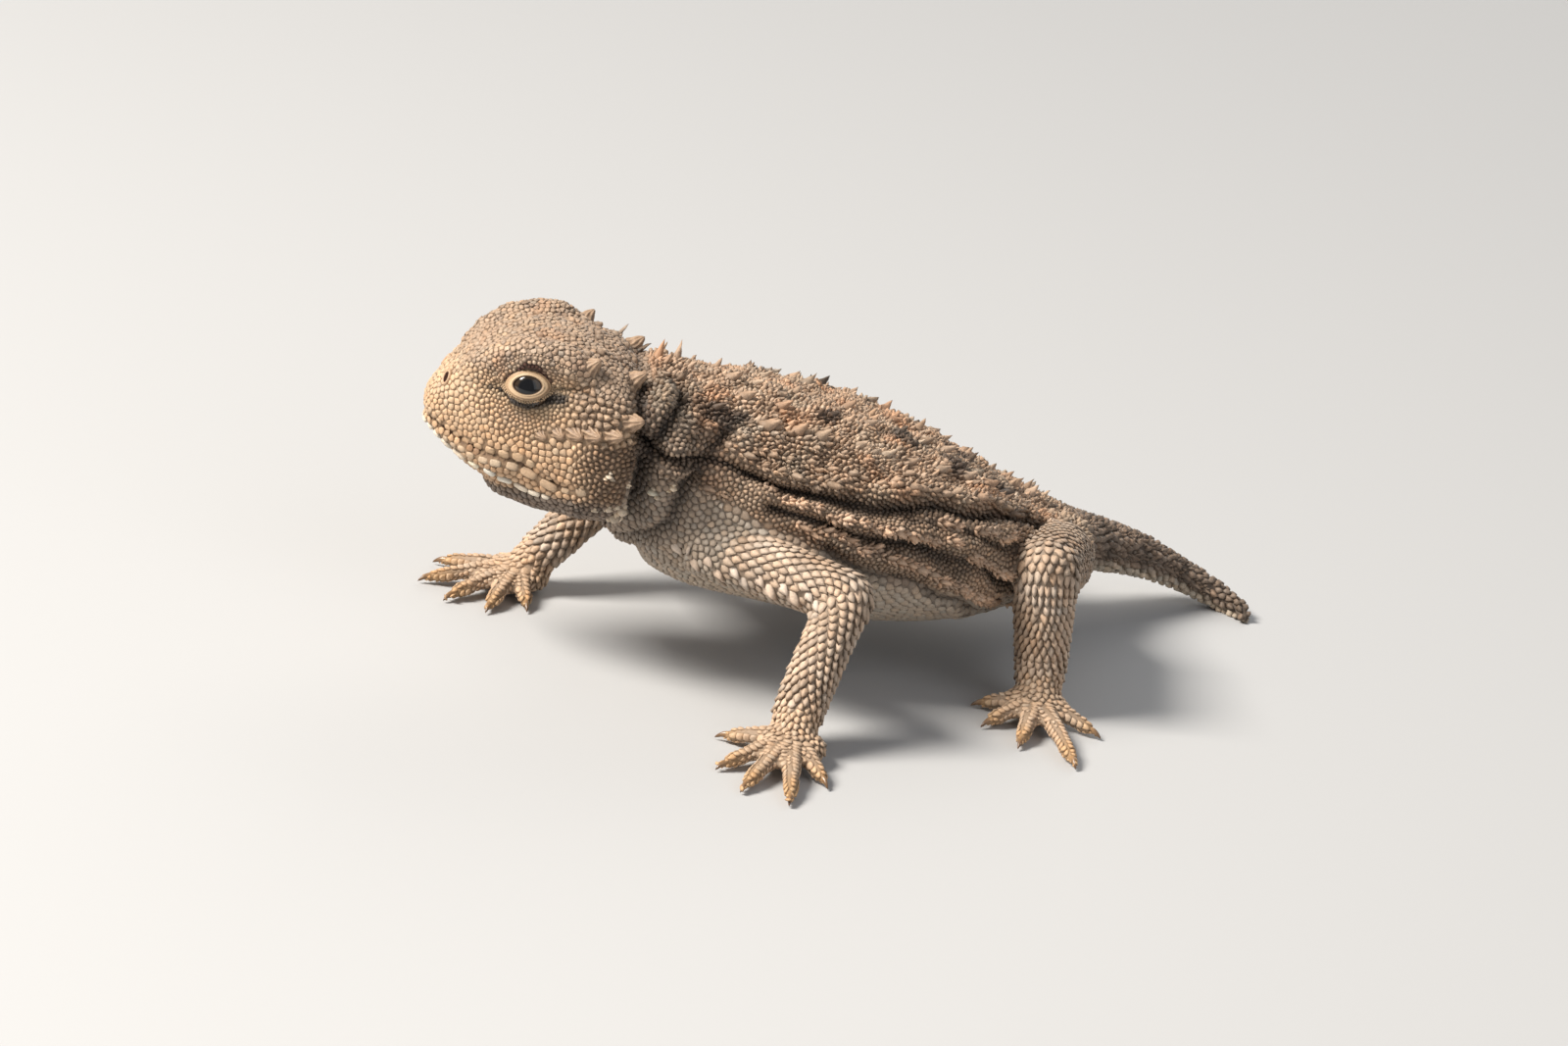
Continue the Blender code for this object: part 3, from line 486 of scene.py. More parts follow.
class Anatomy:
    """Tells for any point which stretch of the body it is on and how that runs."""

    CURVE_STEPS = 4

    def __init__(self) -> None:
        """Prepares the curve of the trunk, the head's sections and the bones."""
        self.curve = smooth_curve(PLAN.trunk_sections, self.CURVE_STEPS)
        self.tangents = unit(np.gradient(self.curve[:, :3], axis=0))
        self.sides = unit(np.cross(self.tangents, (0, 0, 1)))
        self.ups = unit(np.cross(self.sides, self.tangents))
        self.run = run_of(self.curve[:, :3])
        self.head = np.array(PLAN.head_sections)[::-1]

    def trunk(self, points: Array) -> tuple[Array, ...]:
        """Reads points against the trunk.

        Args:
            points: Places on the body.

        Returns:
            How far out each lies, from 1 on the surface, its section's place, its angle up
            from the widest line, its full angle, its share of the length and the tangents.
        """
        nearest = np.empty(len(points), int)
        for start in range(0, len(points), 20000):
            block = points[start : start + 20000]
            away = ((block[:, None] - self.curve[None, :, :3]) ** 2).sum(axis=2)
            nearest[start : start + 20000] = away.argmin(axis=1)
        centre = self.curve[nearest]
        tangent = self.tangents[nearest]
        from_centre = points - centre[:, :3]
        forward = (from_centre * tangent).sum(axis=1)
        from_centre = from_centre - forward[:, None] * tangent
        across = (from_centre * self.sides[nearest]).sum(axis=1)
        above = (from_centre * self.ups[nearest]).sum(axis=1)
        tall = np.where(above > 0, centre[:, 4], centre[:, 5])
        power = PLAN.trunk_power
        out = (np.abs(across / centre[:, 3]) ** power + np.abs(above / tall) ** power) ** (1 / power)
        angle = np.degrees(np.arctan2(above, np.abs(across)))
        full = np.arctan2(above, across) / (2 * math.pi) % 1.0
        place = centre[:, 1] + forward * tangent[:, 1]
        share = (self.run[nearest] + forward) / self.run[-1]
        return out, place, angle, full, share, tangent

    def skull(self, local: Array) -> Array:
        """Returns how far out points lie from the head's core, from 1 on its surface."""
        forward = local[:, 0]
        up, width, rise, fall = (np.interp(forward, self.head[:, 0], self.head[:, k]) for k in range(1, 5))
        above = local[:, 2] - up
        tall = np.where(above > 0, rise, fall)
        power = PLAN.head_power
        out = (np.abs(local[:, 1] / width) ** power + np.abs(above / tall) ** power) ** (1 / power)
        return out + np.maximum(0, -16.0 - forward) * 0.5

    def read(self, points: Array) -> Reading:
        """Reads where points lie on the body.

        Args:
            points: Places on or near the skin.

        Returns:
            Their reading.
        """
        local = PLAN.head.local(points)
        out, place, angle, full, share, lie = self.trunk(points)
        skull = self.skull(local)
        cut, facing = np.array(PLAN.neck_cut[0]), unit(PLAN.neck_cut[1])
        in_head = (points - cut) @ facing > 0
        body = np.where(in_head, np.minimum(skull, out + 0.2), out)
        region = np.where(in_head, Region.HEAD.value, Region.TRUNK.value)
        region = np.where(~in_head & (place > PLAN.tail_start), Region.TAIL.value, region)
        lie = np.where(in_head[:, None], -PLAN.head.matrix()[0], lie)
        around = np.arctan2(local[:, 2], local[:, 1]) / (2 * math.pi) % 1.0
        chart = np.stack([full * 0.48, share * 0.98], axis=1)
        head_chart = np.stack([0.5 + around * 0.48, 0.5 + np.clip(-local[:, 0] / 18, 0, 1) * 0.48], axis=1)
        chart = np.where(in_head[:, None], head_chart, chart)
        best = np.minimum(body, np.where(points[:, 2] < 3, 9.0, 1.3))
        limb = np.full(len(points), -1)
        along = np.where(in_head, np.clip(-local[:, 0] / 16, 0, 1), share)
        cell = 0
        for number, leg in enumerate(PLAN.limbs):
            bones = leg.bones()
            ways = [unit(bone[1] - bone[0]) for bone in bones]
            for index, (start, end, wide, slim) in enumerate(bones):
                way = ways[index]
                length = np.linalg.norm(end - start)
                reach = ((points - start) @ way) / length
                share = np.clip(reach, 0, 1)
                lies = np.tile(way, (len(points), 1))
                if index < 2:
                    lies = lies + (ways[index + 1] - way) * ramp(reach, 0.6, 1.3)[:, None]
                if index == 1:
                    lies = lies + (ways[0] - way) * ramp(reach, 0.35, -0.3)[:, None]
                away = points - start - share[:, None] * (end - start)
                ratio = lengths(away) / (wide + (slim - wide) * share)
                if index == 0:
                    ratio = ratio + ramp(share, 0.35, 0.0) * 0.6
                nearer = ratio < best
                best = np.where(nearer, ratio, best)
                kind = (Region.UPPER, Region.LOWER, Region.PAW, Region.DIGIT)[min(index, 3)]
                region = np.where(nearer, kind.value, region)
                limb = np.where(nearer, number, limb)
                along = np.where(nearer, share, along)
                lie = np.where(nearer[:, None], lies, lie)
                side = unit(np.cross(way, (0.1, 0.2, 1)))
                turn = np.arctan2(away @ np.cross(side, way), away @ side) / (2 * math.pi) % 1.0
                corner = np.array([0.5 + (cell % 8) * 0.06, (cell // 8) * 0.12])
                here = corner + np.stack([turn * 0.055, share * 0.11], axis=1)
                chart = np.where(nearer[:, None], here, chart)
                cell += 1
        chart = np.clip(chart, 0.002, 0.998)
        return Reading(region, limb, local, place, angle, along, lie, chart, mottle(points, 2.3, 51))


ANATOMY = Anatomy()


def eye_measure(points: Array, side: int) -> tuple[Array, Array, Array]:
    """Measures points against one eye's opening.

    Args:
        points: Places near the head.
        side: 1 for the left eye and -1 for the right.

    Returns:
        How far out each lies, from 1 on the middle of the lids' rim, its lift above the
        opening's middle line as an angle, and its distance from the eye's centre.
    """
    centre, facing, along, upward = PLAN.eye_axes(side)
    away = points - centre
    distance = np.maximum(lengths(away), 1e-6)
    away = away / distance[:, None]
    swing = np.degrees(np.arcsin(np.clip(away @ along, -1, 1)))
    lift = np.degrees(np.arctan2(away @ upward, away @ facing))
    swing = np.where(away @ facing > 0, swing, 180)
    lift = lift - EyeSet.raised
    return np.hypot(swing / EyeSet.half_length, lift / EyeSet.half_opening), lift, distance


class Creases:
    """The folds of flanks, neck and groins: how deep they are, and how much painted shade lies in them."""

    # Each one's points as place and angle, then its depth and width.
    LINES = (
        (((-8.0, 10), (-5.4, 3), (-3.0, 6), (-0.6, 11), (3.1, 13), (5.7, 12), (7.9, 17), (13.2, 20),
          (19.2, 22), (23, 20)), 0.85, 0.42),
        (((0.5, -1), (3.1, 0), (5.4, 3), (8.3, 4), (11.6, 2), (15.0, -1), (19.0, -6)), 0.6, 0.32),
        (((4.0, -8), (9.9, -10), (12.8, -12), (18.5, -22)), 0.4, 0.32),
        (((8.0, 11.5), (12.0, 12.5), (17.0, 9.0), (21.0, 6.0)), 0.45, 0.28),
        (((-5.8, 62), (-5.4, 40), (-5.9, 25), (-6.2, 8), (-5.9, -14), (-5.2, -50), (-4.9, -90)), 0.6, 0.38),
        (((-3.2, 27), (-3.6, 12), (-3.9, -12), (-3.2, -40), (-3.0, -90)), 0.5, 0.36),
        (((19.6, 30), (20.4, 8), (20.8, -16), (20.6, -40)), 0.5, 0.35),
    )
    # Millimetres of flank to a degree of angle.
    DEGREE = 0.14
    # The gap behind the head, along the head's forward axis.
    GAP = -12.9

    @classmethod
    def away(cls, reading: Reading, path: Sequence) -> Array:
        """Returns how far points of the trunk lie from a line on it."""
        flat = np.stack([reading.place, reading.angle * cls.DEGREE + 0.24 * reading.wander], axis=1)
        return path_distance(flat, np.array(path) * (1, cls.DEGREE))

    @classmethod
    def behind_head(cls, reading: Reading) -> Array:
        """Returns how far in the gap behind the head each point lies, from 0 to 1."""
        forward, left, up = reading.local.T
        roll = np.degrees(np.arctan2(up + 0.6, np.abs(left)))
        gap = np.exp(-(((forward - cls.GAP) / 0.62) ** 2))
        return gap * (0.45 + 0.55 * ramp(roll, 66, 40)) * (0.4 + 0.6 * ramp(roll, -70, -35))

    @classmethod
    def depth(cls, reading: Reading) -> Array:
        """Returns how deep the folds cut, with the flesh heaped a little along their sides."""
        body = reading.limb < 0
        trunk = body & (reading.on(Region.TRUNK) | (reading.local[:, 0] < -12.0))
        depth = np.zeros(len(body))
        for path, deep, wide in cls.LINES:
            away = cls.away(reading, path) / wide
            heap = 0.4 * np.exp(-((away - 2.1) ** 2))
            depth += deep * (0.85 + 0.3 * reading.wander) * (np.exp(-away * away) - heap) * trunk
        return depth + 0.95 * cls.behind_head(reading) * body

    @classmethod
    def shade(cls, reading: Reading) -> Array:
        """Returns how much painted shade the folds and the gap behind the head get, from 0 to 1."""
        dark = cls.behind_head(reading)
        for path, deep, wide in cls.LINES:
            away = cls.away(reading, path) / (wide * 1.25)
            dark = np.maximum(dark, np.exp(-away * away) * min(1.0, deep / 0.6))
        return dark


class Markings:
    """The colours of the animal by place, shared by the skin and the scales: its own colours and pattern, and
    painted shade in the folds, behind the head, round the eyes and along the mouth.
    """

    BACK = (0.43, 0.295, 0.20)
    RUFOUS = (0.48, 0.27, 0.155)
    GREY = (0.34, 0.27, 0.20)
    # Near black: the dark of the blotches, and painted shade in the folds and behind the head.
    DARK = (0.045, 0.033, 0.026)
    SHADE = (0.12, 0.085, 0.06)
    FLANK = (0.36, 0.25, 0.17)
    PALE = (0.60, 0.46, 0.33)
    CREAM = (0.62, 0.51, 0.39)
    BELLY = (0.46, 0.38, 0.30)
    CROWN = (0.42, 0.30, 0.21)
    SNOUT = (0.60, 0.42, 0.27)
    CHEEK = (0.55, 0.37, 0.23)
    THROAT = (0.17, 0.13, 0.105)
    LIMB = (0.52, 0.385, 0.28)
    PAW = (0.60, 0.42, 0.28)
    TOE = (0.60, 0.37, 0.19)
    TAIL = (0.23, 0.165, 0.12)

    # Dark blotches down the back, as place, angle, length and width.
    BLOTCHES = (
        (-3.4, 38, 1.5, 1.3), (3.7, 57, 1.1, 0.9), (9.7, 53, 1.3, 1.0), (13.6, 42, 1.1, 1.0),
        (17.6, 36, 1.1, 0.9), (16.0, 60, 1.4, 1.1), (22.5, 55, 1.3, 1.0), (27.0, 50, 1.0, 0.8),
    )

    def trunk(self, points: Array, reading: Reading) -> Array:
        """Returns the colours of the back, flanks, belly and tail."""
        angle, place = reading.angle, reading.place
        colour = painted(
            self.BACK,
            (self.GREY, spots(points, 2.6, 11, 0.1, 1.0) * 0.7),
            (self.RUFOUS, spots(points, 1.9, 12, 0.3, 1.1) * 0.7),
            (self.PALE, spots(points, 2.2, 14, 0.5, 1.2) * 0.4),
        )
        for y, up, long, wide in self.BLOTCHES:
            away = np.hypot((place - y) / long, (angle - up) * Creases.DEGREE / wide)
            away = away + 0.25 * mottle(points, 0.8, 13)
            rear = ramp(np.abs(away - 1.25), 0.4, 0.1) * (place > y)
            colour = painted(colour, (self.CREAM, rear * 0.35), (self.DARK, ramp(away, 1.15, 0.75) * 0.85))
        flank = ramp(angle, 22, 15) * ramp(angle, -14, -8) * ramp(place, 27, 22) * ramp(place, -2.5, 0)
        neck = ramp(place, -1.5, -4.0) * ramp(angle, 34, 20)
        chest = ramp(place, 1.0, -3.0) * ramp(angle, -14, -24)
        tail = painted(
            self.TAIL,
            (self.SHADE, ramp(np.sin(place * 1.5), 0.2, 0.9) * 0.6),
            (self.CREAM, ramp(angle, -10, -40)),
        )
        return painted(
            colour,
            (self.FLANK, flank * 0.75),
            (self.BELLY, ramp(angle, -7, -15)),
            ((0.25, 0.18, 0.13), neck * 0.8),
            ((0.34, 0.27, 0.21), chest * 0.8),
            # Painted shade in the folds.
            (self.DARK, Creases.shade(reading) * 0.86),
            (tail, ramp(place, 28, 32)),
        )

    def face(self, points: Array, reading: Reading, normals: Array) -> Array:
        """Returns the colours of the head."""
        forward, _, up = reading.local.T
        above = ramp(normals @ PLAN.head.matrix()[2], 0.2, 0.6) * ramp(forward, -0.8, -2.8)
        above = np.maximum(above, ramp(up, 2.9, 3.9) * ramp(forward, -0.8, -2.8))
        crown = painted(
            self.CROWN,
            ((0.52, 0.38, 0.26), spots(points, 0.9, 21, 0.2, 1.2) * 0.5),
            ((0.26, 0.19, 0.145), spots(points, 0.7, 22, 0.4, 1.3) * 0.7),
            (self.RUFOUS, spots(points, 1.6, 23, 0.5, 1.2) * 0.35),
        )
        temple = ramp(forward, -8.2, -9.6) * ramp(up, -0.2, 0.8)
        level, _ = above_mouth(reading.local)
        lip = ramp(np.abs(level), 2.4, 1.0) * ramp(forward, -9.5, -7.0)
        colour = painted(
            self.CHEEK,
            (self.SNOUT, ramp(forward, -4.5, -2.0)),
            ((0.40, 0.28, 0.20), spots(points, 1.1, 25, 0.4, 1.3) * 0.35),
            (crown, above),
            ((0.34, 0.245, 0.175), temple * 0.7),
            ((0.60, 0.38, 0.22), lip * 0.6),
        )
        for side in (1, -1):
            measure, lift, distance = eye_measure(points, side)
            here = ramp(distance, 3.2, 2.5)
            # Under the lower lid: near black, partly the skin's own dark line and partly painted shade in its
            # sculpted groove.
            under = ramp(np.abs(measure - 1.62), 0.46, 0.2) * ramp(lift, -12, -26) * here
            # Above the rim: dark red-brown, partly the lid's own red-brown edge and partly painted shade in
            # the sculpted slit under the brow.
            over = ramp(np.abs(measure - 1.12), 0.09, 0.03) * ramp(lift, 3, 14) * here
            colour = painted(
                colour,
                ((0.44, 0.32, 0.205), ramp(measure, 3.0, 2.0) * 0.75 * here * (lift < 8)),
                # Dark line and painted shade under the lower lid.
                ((0.02, 0.016, 0.014), under * 0.95),
                # Red-brown edge and painted shade above the rim.
                ((0.07, 0.022, 0.015), over * 0.95),
            )
        below = ramp(up, -3.9, -4.6) * ramp(forward, -1.5, -3.5)
        beads = ramp(forward, -8.6, -10.4) * ramp(up, 0.1, -0.8) * (1 - below)
        # Along the front of the mouth line: dark brown, painted shade in its sculpted groove.
        line = ramp(np.abs(level), 0.2, 0.08) * ramp(forward, -9.2, -8.2)
        neck = ramp(forward, -12.8, -13.8)
        return painted(
            colour,
            (self.THROAT, below * 0.92),
            ((0.36, 0.28, 0.215), below * spots(points, 0.6, 24, 0.3, 1.2) * 0.5),
            ((0.16, 0.10, 0.065), beads * 0.75),
            # Painted shade in the mouth line.
            ((0.13, 0.06, 0.03), line * 0.85),
            # Painted shade in the gap behind the head.
            (self.DARK, Creases.behind_head(reading) * 0.9),
            (self.BACK, neck * ramp(up, 1.2, 2.4) * 0.8),
        )

    def limb(self, points: Array, reading: Reading, normals: Array) -> Array:
        """Returns the colours of the legs and feet."""
        toe = reading.on(Region.DIGIT)
        return painted(
            self.LIMB,
            ((0.62, 0.50, 0.40), spots(points, 1.7, 31, 0.1, 1.0) * 0.6),
            ((0.36, 0.25, 0.17), spots(points, 2.1, 32, 0.5, 1.2) * 0.6),
            (self.BELLY, ramp(normals[:, 2], -0.1, -0.7) * 0.7),
            (self.PAW, reading.on(Region.PAW, Region.DIGIT) * 0.8),
            (self.TOE, toe * ramp(reading.along, 0.55, 0.85)),
        )

    def colour(self, points: Array, normals: Array, reading: Reading) -> Array:
        """Returns the colours of points of the skin.

        Args:
            points: Places on the skin.
            normals: The skin's normals there.
            reading: Where they lie on the body.

        Returns:
            One colour for each point.
        """
        head = reading.on(Region.HEAD)
        colour = np.where(head[:, None], self.face(points, reading, normals), self.trunk(points, reading))
        hip = reading.on(Region.UPPER) * ramp(reading.along + 0.05 * reading.wander, 0.42, 0.12)
        limb = self.limb(points, reading, normals)
        limb = limb + (colour - limb) * hip[:, None] * 0.8
        return np.where((reading.limb >= 0)[:, None], limb, colour)


@dataclass(frozen=True)
class Mouth:
    """The line of the mouth: its height along the head's axes by how far round it runs."""

    centre: float = -6.5
    corner: float = 112
    turns: tuple = (0, 11, 20, 28, 35, 43, 50, 63, 73, 80, 95, 109, 125)
    levels: tuple = (-0.35, -0.5, -0.9, -1.3, -1.62, -1.86, -2.0, -2.1, -2.19, -2.34, -2.9, -3.4, -3.5)


MOUTH = Mouth()


def above_mouth(local: Array) -> tuple[Array, Array]:
    """Returns how high places on the head's axes lie above the mouth line, and how far round it."""
    turn = np.degrees(np.arctan2(np.abs(local[:, 1]), local[:, 0] - MOUTH.centre))
    return local[:, 2] - np.interp(turn, MOUTH.turns, MOUTH.levels), turn


class Skin:
    """The one skin over head, neck, trunk, tail and legs, and the surface that scales sit on."""

    VOXEL = 0.26
    SINK = 0.1
    # Painted shade on the skin between the scales: how light it is, as a share of their own colours.
    LIGHT = 0.55
    # The most that the skin rises under spines and knobs.
    MOUND = 0.5
    # Rounds of smoothing: for all of the skin, then for what lies above the feet.
    SOFTENING = 2
    BODY_SOFTENING = 14
    FLESH = ("head", "neck", "torso", "tail_base", "tail_tip", "upper_arm_left", "forearm_left",
             "hand_left", "upper_arm_right", "forearm_right", "hand_right", "thigh_left",
             "shin_left", "foot_left", "thigh_right", "shin_right", "foot_right")

    def __init__(self) -> None:
        """Builds the skin and the search tree over it."""
        self.obj = self.fused(self.trunk_forms() + [f for leg in PLAN.limbs for f in self.leg_forms(leg)])
        mesh = Mesh(self.obj)
        points = self.sculpted(mesh.read(), mesh.normals())
        mesh.write(points)
        self.shape()
        # The skin takes the colours by place, darkened as painted shade between the scales.
        mesh.colour(Markings().colour(points, mesh.normals(), ANATOMY.read(points)) * self.LIGHT)
        self.obj.data.shade_smooth()

    def shape(self) -> None:
        """Reads the finished surface into arrays and a search tree, in millimetres."""
        mesh = self.obj.data
        mesh.calc_loop_triangles()
        self.points = Mesh(self.obj).read()
        self.normals = Mesh(self.obj).normals()
        faces = np.empty(len(mesh.loop_triangles) * 3, np.int32)
        mesh.loop_triangles.foreach_get("vertices", faces)
        self.faces = faces.reshape(-1, 3)
        self.tree = BVHTree.FromPolygons(self.points.tolist(), self.faces.tolist())

    def trunk_forms(self) -> list[Piece]:
        """Makes the overlapping bodies of head, neck, trunk and tail."""
        axes = PLAN.head.matrix()
        sections = [
            (*PLAN.head.point((x, 0, z)), width, rise, fall)
            for x, z, width, rise, fall in PLAN.head_sections
        ]
        forms = [
            loft(PLAN.trunk_sections, 64, 6, PLAN.trunk_power),
            loft(sections, 56, 6, PLAN.head_power),
            ball(PLAN.head.point(PLAN.throat[0]), PLAN.throat[1], axes, 32),
        ]
        for side in (1, -1):
            ridge = [(*PLAN.head.point(row[:3], side), row[3]) for row in PLAN.brow_ridge]
            forms.append(rod(ridge, 20, 5))
            forms.append(ball(PLAN.head.point(PLAN.cheek[0], side), PLAN.cheek[1], axes, 32))
        return forms

    def digit(self, palm: Row, tip: Row) -> Piece:
        """Makes one digit, arched from the palm, a little thicker at its joints and its end."""
        start = np.array([palm[0], palm[1], 0.0])
        run = np.array([*tip, 0.0]) - start
        reach = np.linalg.norm(run)
        bulb = reach - PLAN.claw_length + 0.3
        wide = PLAN.digit_radius
        # How far along the digit, how high, and the radius there.
        stations = (
            (0.0, 0.8, 0.35), (0.15, 0.95, wide * 1.3), (0.34, 1.0, wide * 1.08),
            (0.5, 0.92, wide * 1.14), (0.66, 0.8, wide * 0.98), (0.82, 0.62, wide * 0.98),
            (0.94, 0.5, wide * 0.78), (1.02, 0.42, wide * 0.56), (1.1, 0.36, wide * 0.36),
        )
        rows = []
        for share, height, radius in stations:
            rows.append((*(start + run * (share * bulb / reach))[:2], height, radius))
        return rod(rows, 14, 4)

    def leg_forms(self, leg: Limb) -> list[Piece]:
        """Makes the overlapping bodies of one leg."""
        root, bend, wrist, palm = (np.array(joint) for joint in leg.joints)
        widest, thick, slim, end = leg.radii
        middle = (root + bend) / 2
        calf = bend + (wrist - bend) * 0.35
        upper = rod(((*root, 0.8), (*root, widest), (*middle, widest * 0.97), (*bend, thick)), 24, 6)
        rows = ((*bend, 0.6), (*bend, thick * 0.95), (*calf, thick * 0.88), (*wrist, slim), (*palm, end))
        lower = rod(rows, 24, 6, (1, 0, 0))
        forms = [upper, ball(bend, (thick,) * 3), lower, ball(palm, PLAN.palm_size)]
        forms.extend(self.digit(palm, tip) for tip in leg.digits)
        return forms

    def fused(self, forms: list[Piece]) -> Piece:
        """Melts the overlapping bodies into one smooth closed skin."""
        obj = join(forms, "skin")
        remesh = obj.modifiers.new("fuse", "REMESH")
        remesh.mode = "VOXEL"
        remesh.voxel_size = self.VOXEL * MM
        mesh = Mesh(obj)
        mesh.apply_modifiers()
        points = mesh.read()
        body = ramp(points[:, 2], 2.0, 4.0)
        group = obj.vertex_groups.new(name="body")
        for level in range(1, 11):
            at_level = np.nonzero(np.rint(body * 10) == level)[0]
            group.add(at_level.tolist(), level / 10, "REPLACE")
        for times, limit in ((self.SOFTENING, ""), (self.BODY_SOFTENING, "body")):
            soften = obj.modifiers.new("soften", "SMOOTH")
            soften.factor = 0.5
            soften.iterations = times
            soften.vertex_group = limit
        mesh.apply_modifiers()
        obj.vertex_groups.clear()
        return obj

    def sculpted(self, points: Array, normals: Array) -> Array:
        """Moves the skin's points: sunk under its scales, creased, and drawn round the eyes.

        Args:
            points: The points of the fused skin.
            normals: Their normals.

        Returns:
            The points where they end up.
        """
        reading = ANATOMY.read(points)
        depth = self.SINK + Creases.depth(reading)
        back = (reading.limb < 0) * ramp(reading.place, 33, 26) * ramp(reading.angle, -8, 6)
        head = reading.on(Region.HEAD)
        depth = depth - 0.14 * mottle(points, 1.6, 41) * back * ~head
        forward, _, up = reading.local.T
        crown = head * ramp(up, 1.6, 3.0)
        depth = depth - 0.07 * mottle(points, 0.75, 42) * crown
        level, _ = above_mouth(reading.local)
        chin = head * ramp(level, 0.4, -0.4) * ramp(forward, -5.6, -4.0) * ramp(forward, 0.0, -1.4)
        depth = depth - 0.36 * chin * (up > -6)
        points = points - normals * depth[:, None]
        local = PLAN.head.local(points)
        level, turn = above_mouth(local)
        line = np.exp(-((level / 0.15) ** 2)) * ramp(turn, MOUTH.corner + 6, MOUTH.corner - 4)
        in_head = head & (local[:, 0] > -12)
        points = points - normals * (0.3 * line * in_head)[:, None]
        for side in (1, -1):
            points = self.round_eye(points, side)
        points[:, 2] = np.maximum(points[:, 2], 0.03)
        return points

    def round_eye(self, points: Array, side: int) -> Array:
        """Draws the skin round one eye: open inside the lids, bulging over the ball outside."""
        centre, facing, _, _ = PLAN.eye_axes(side)
        measure, lift, distance = eye_measure(points, side)
        ways = (points - centre) / distance[:, None]
        near = (distance < PLAN.eye_radius + 2.6) & (ways @ facing > 0.0)
        over = PLAN.eye_radius + 0.14
        share = ramp(measure, 2.8, 1.7) * near
        fitted = distance + (np.maximum(distance, over) - distance) * share
        brow = over + 0.24 * ramp(measure, 1.08, 1.18) + 0.4 * ramp(measure, 1.2, 1.8)
        fitted = np.where(near & (measure < 2.9), np.maximum(fitted, brow * ramp(lift, 4, 16)), fitted)
        above = ramp(lift, 0, 12)
        fitted = fitted + (over - fitted) * ramp(measure, 1.62 - 0.5 * above, 1.3 - 0.24 * above) * near
        groove = np.exp(-(((measure - 1.64) / 0.17) ** 2)) * ramp(lift, -8, -22) * ramp(distance, 3.4, 2.6)
        slit = np.exp(-(((measure - 1.15) / 0.07) ** 2)) * ramp(lift, 2, 12)
        fitted = fitted - (0.42 * groove + 0.18 * slit) * near
        fitted = np.where(near & (measure < 0.94), PLAN.eye_radius - 0.4, fitted)
        return centre + ways * fitted[:, None]

    def raise_at(self, centres: Array, heights: Array, widths: Array) -> None:
        """Raises the skin in a low mound at each centre, and reads the surface again."""
        tree = tree_of(self.points)
        lift = np.zeros(len(self.points))
        for centre, height, width in zip(centres.tolist(), heights.tolist(), widths.tolist()):
            for _, index, distance in tree.find_range(centre, width * 2.2):
                lift[index] += height * math.exp(-((distance / width) ** 2))
        Mesh(self.obj).write(self.points + self.normals * np.minimum(lift, self.MOUND)[:, None])
        self.shape()

    def hit(self, start: Row, way: Row, reach: float = 12.0) -> tuple | None:
        """Finds where the skin is met by a ray that comes back along a way.

        Args:
            start: The place to look from.
            way: The outward direction.
            reach: How far out the ray starts.

        Returns:
            The place and the skin's smooth normal there, or None.
        """
        way = Vector(unit(way))
        place, _, face, _ = self.tree.ray_cast(Vector(start) + way * reach, -way, reach * 2)
        if place is None:
            return None
        return np.array(place), self.normal(face)

    def normal(self, face: int) -> Array:
        """Returns the smooth normal of one face."""
        return unit(self.normals[self.faces[face]].mean(axis=0))

    def nearest(self, place: Array) -> tuple[Array, Array]:
        """Returns the nearest place on the skin and the normal there."""
        found, _, face, _ = self.tree.find_nearest(place)
        return np.array(found), self.normal(face)

    def settle(self, points: Array) -> tuple[Array, Array]:
        """Returns the nearest places on the skin and the normals there."""
        places = np.empty_like(points)
        faces = np.empty(len(points), int)
        for index, point in enumerate(points.tolist()):
            place, _, face, _ = self.tree.find_nearest(point)
            places[index] = place
            faces[index] = face
        return places, unit(self.normals[self.faces[faces]].mean(axis=1))


@dataclass(frozen=True)
class ScaleForm:
    """One form of scale, as rings of points round a middle point, from half sizes of one.

    Attributes:
        sides: How many points each ring has.
        rings: For each ring its share of the outline and its height.
        point: How far the rear of the outline is drawn out.
        blunt: How much the front is pulled in.
        keel: How high the ridge along the middle stands.
        rise: How much higher the rear is than the front.
        tones: How light the rings are, from the lowest, then of the middle: the lower rings darkened as
            painted shade at the scale's foot, the upper ones a little paler.
    """

    sides: int
    rings: tuple
    point: float = 0.0
    blunt: float = 0.0
    keel: float = 0.0
    rise: float = 0.0
    tones: tuple = (0.5, 0.9, 1.0)

    def build(self) -> tuple[Array, Array, Array]:
        """Builds the form.

        Returns:
            Its points, its triangles and for each point how light it is, with painted shade at the foot.
        """
        turns = np.arange(self.sides) * 2 * math.pi / self.sides
        points = []
        tones = []
        for (share, height), tone in zip(self.rings, self.tones):
            x = np.cos(turns) * share
            y = np.sin(turns) * share
            x = np.where(x > 0, x * (1 + self.point * np.cos(turns) ** 4), x * (1 - self.blunt))
            y = y * (1 - 0.9 * self.point * np.maximum(np.cos(turns), 0))
            ridge = self.keel * np.exp(-((y / 0.3) ** 2)) * (height > 0)
            z = height + ridge * (1 - share * 0.6) + self.rise * x * (height > 0)
            points.append(np.stack([x, y, z], axis=1))
            tones.extend([tone] * self.sides)
        points.append(np.array([[0.0, 0.0, 1.0 + self.keel]]))
        tones.append(self.tones[-1])
        count = len(self.rings) * self.sides
        faces = []
        for ring in range(len(self.rings) - 1):
            for side in range(self.sides):
                a = ring * self.sides + side
                b = ring * self.sides + (side + 1) % self.sides
                faces.append((a, b, b + self.sides))
                faces.append((a, b + self.sides, a + self.sides))
        for side in range(self.sides):
            last = count - self.sides
            faces.append((last + side, last + (side + 1) % self.sides, count))
        for side in range(1, self.sides - 1):
            faces.append((0, side + 1, side))
        return np.concatenate(points), np.array(faces), np.array(tones)
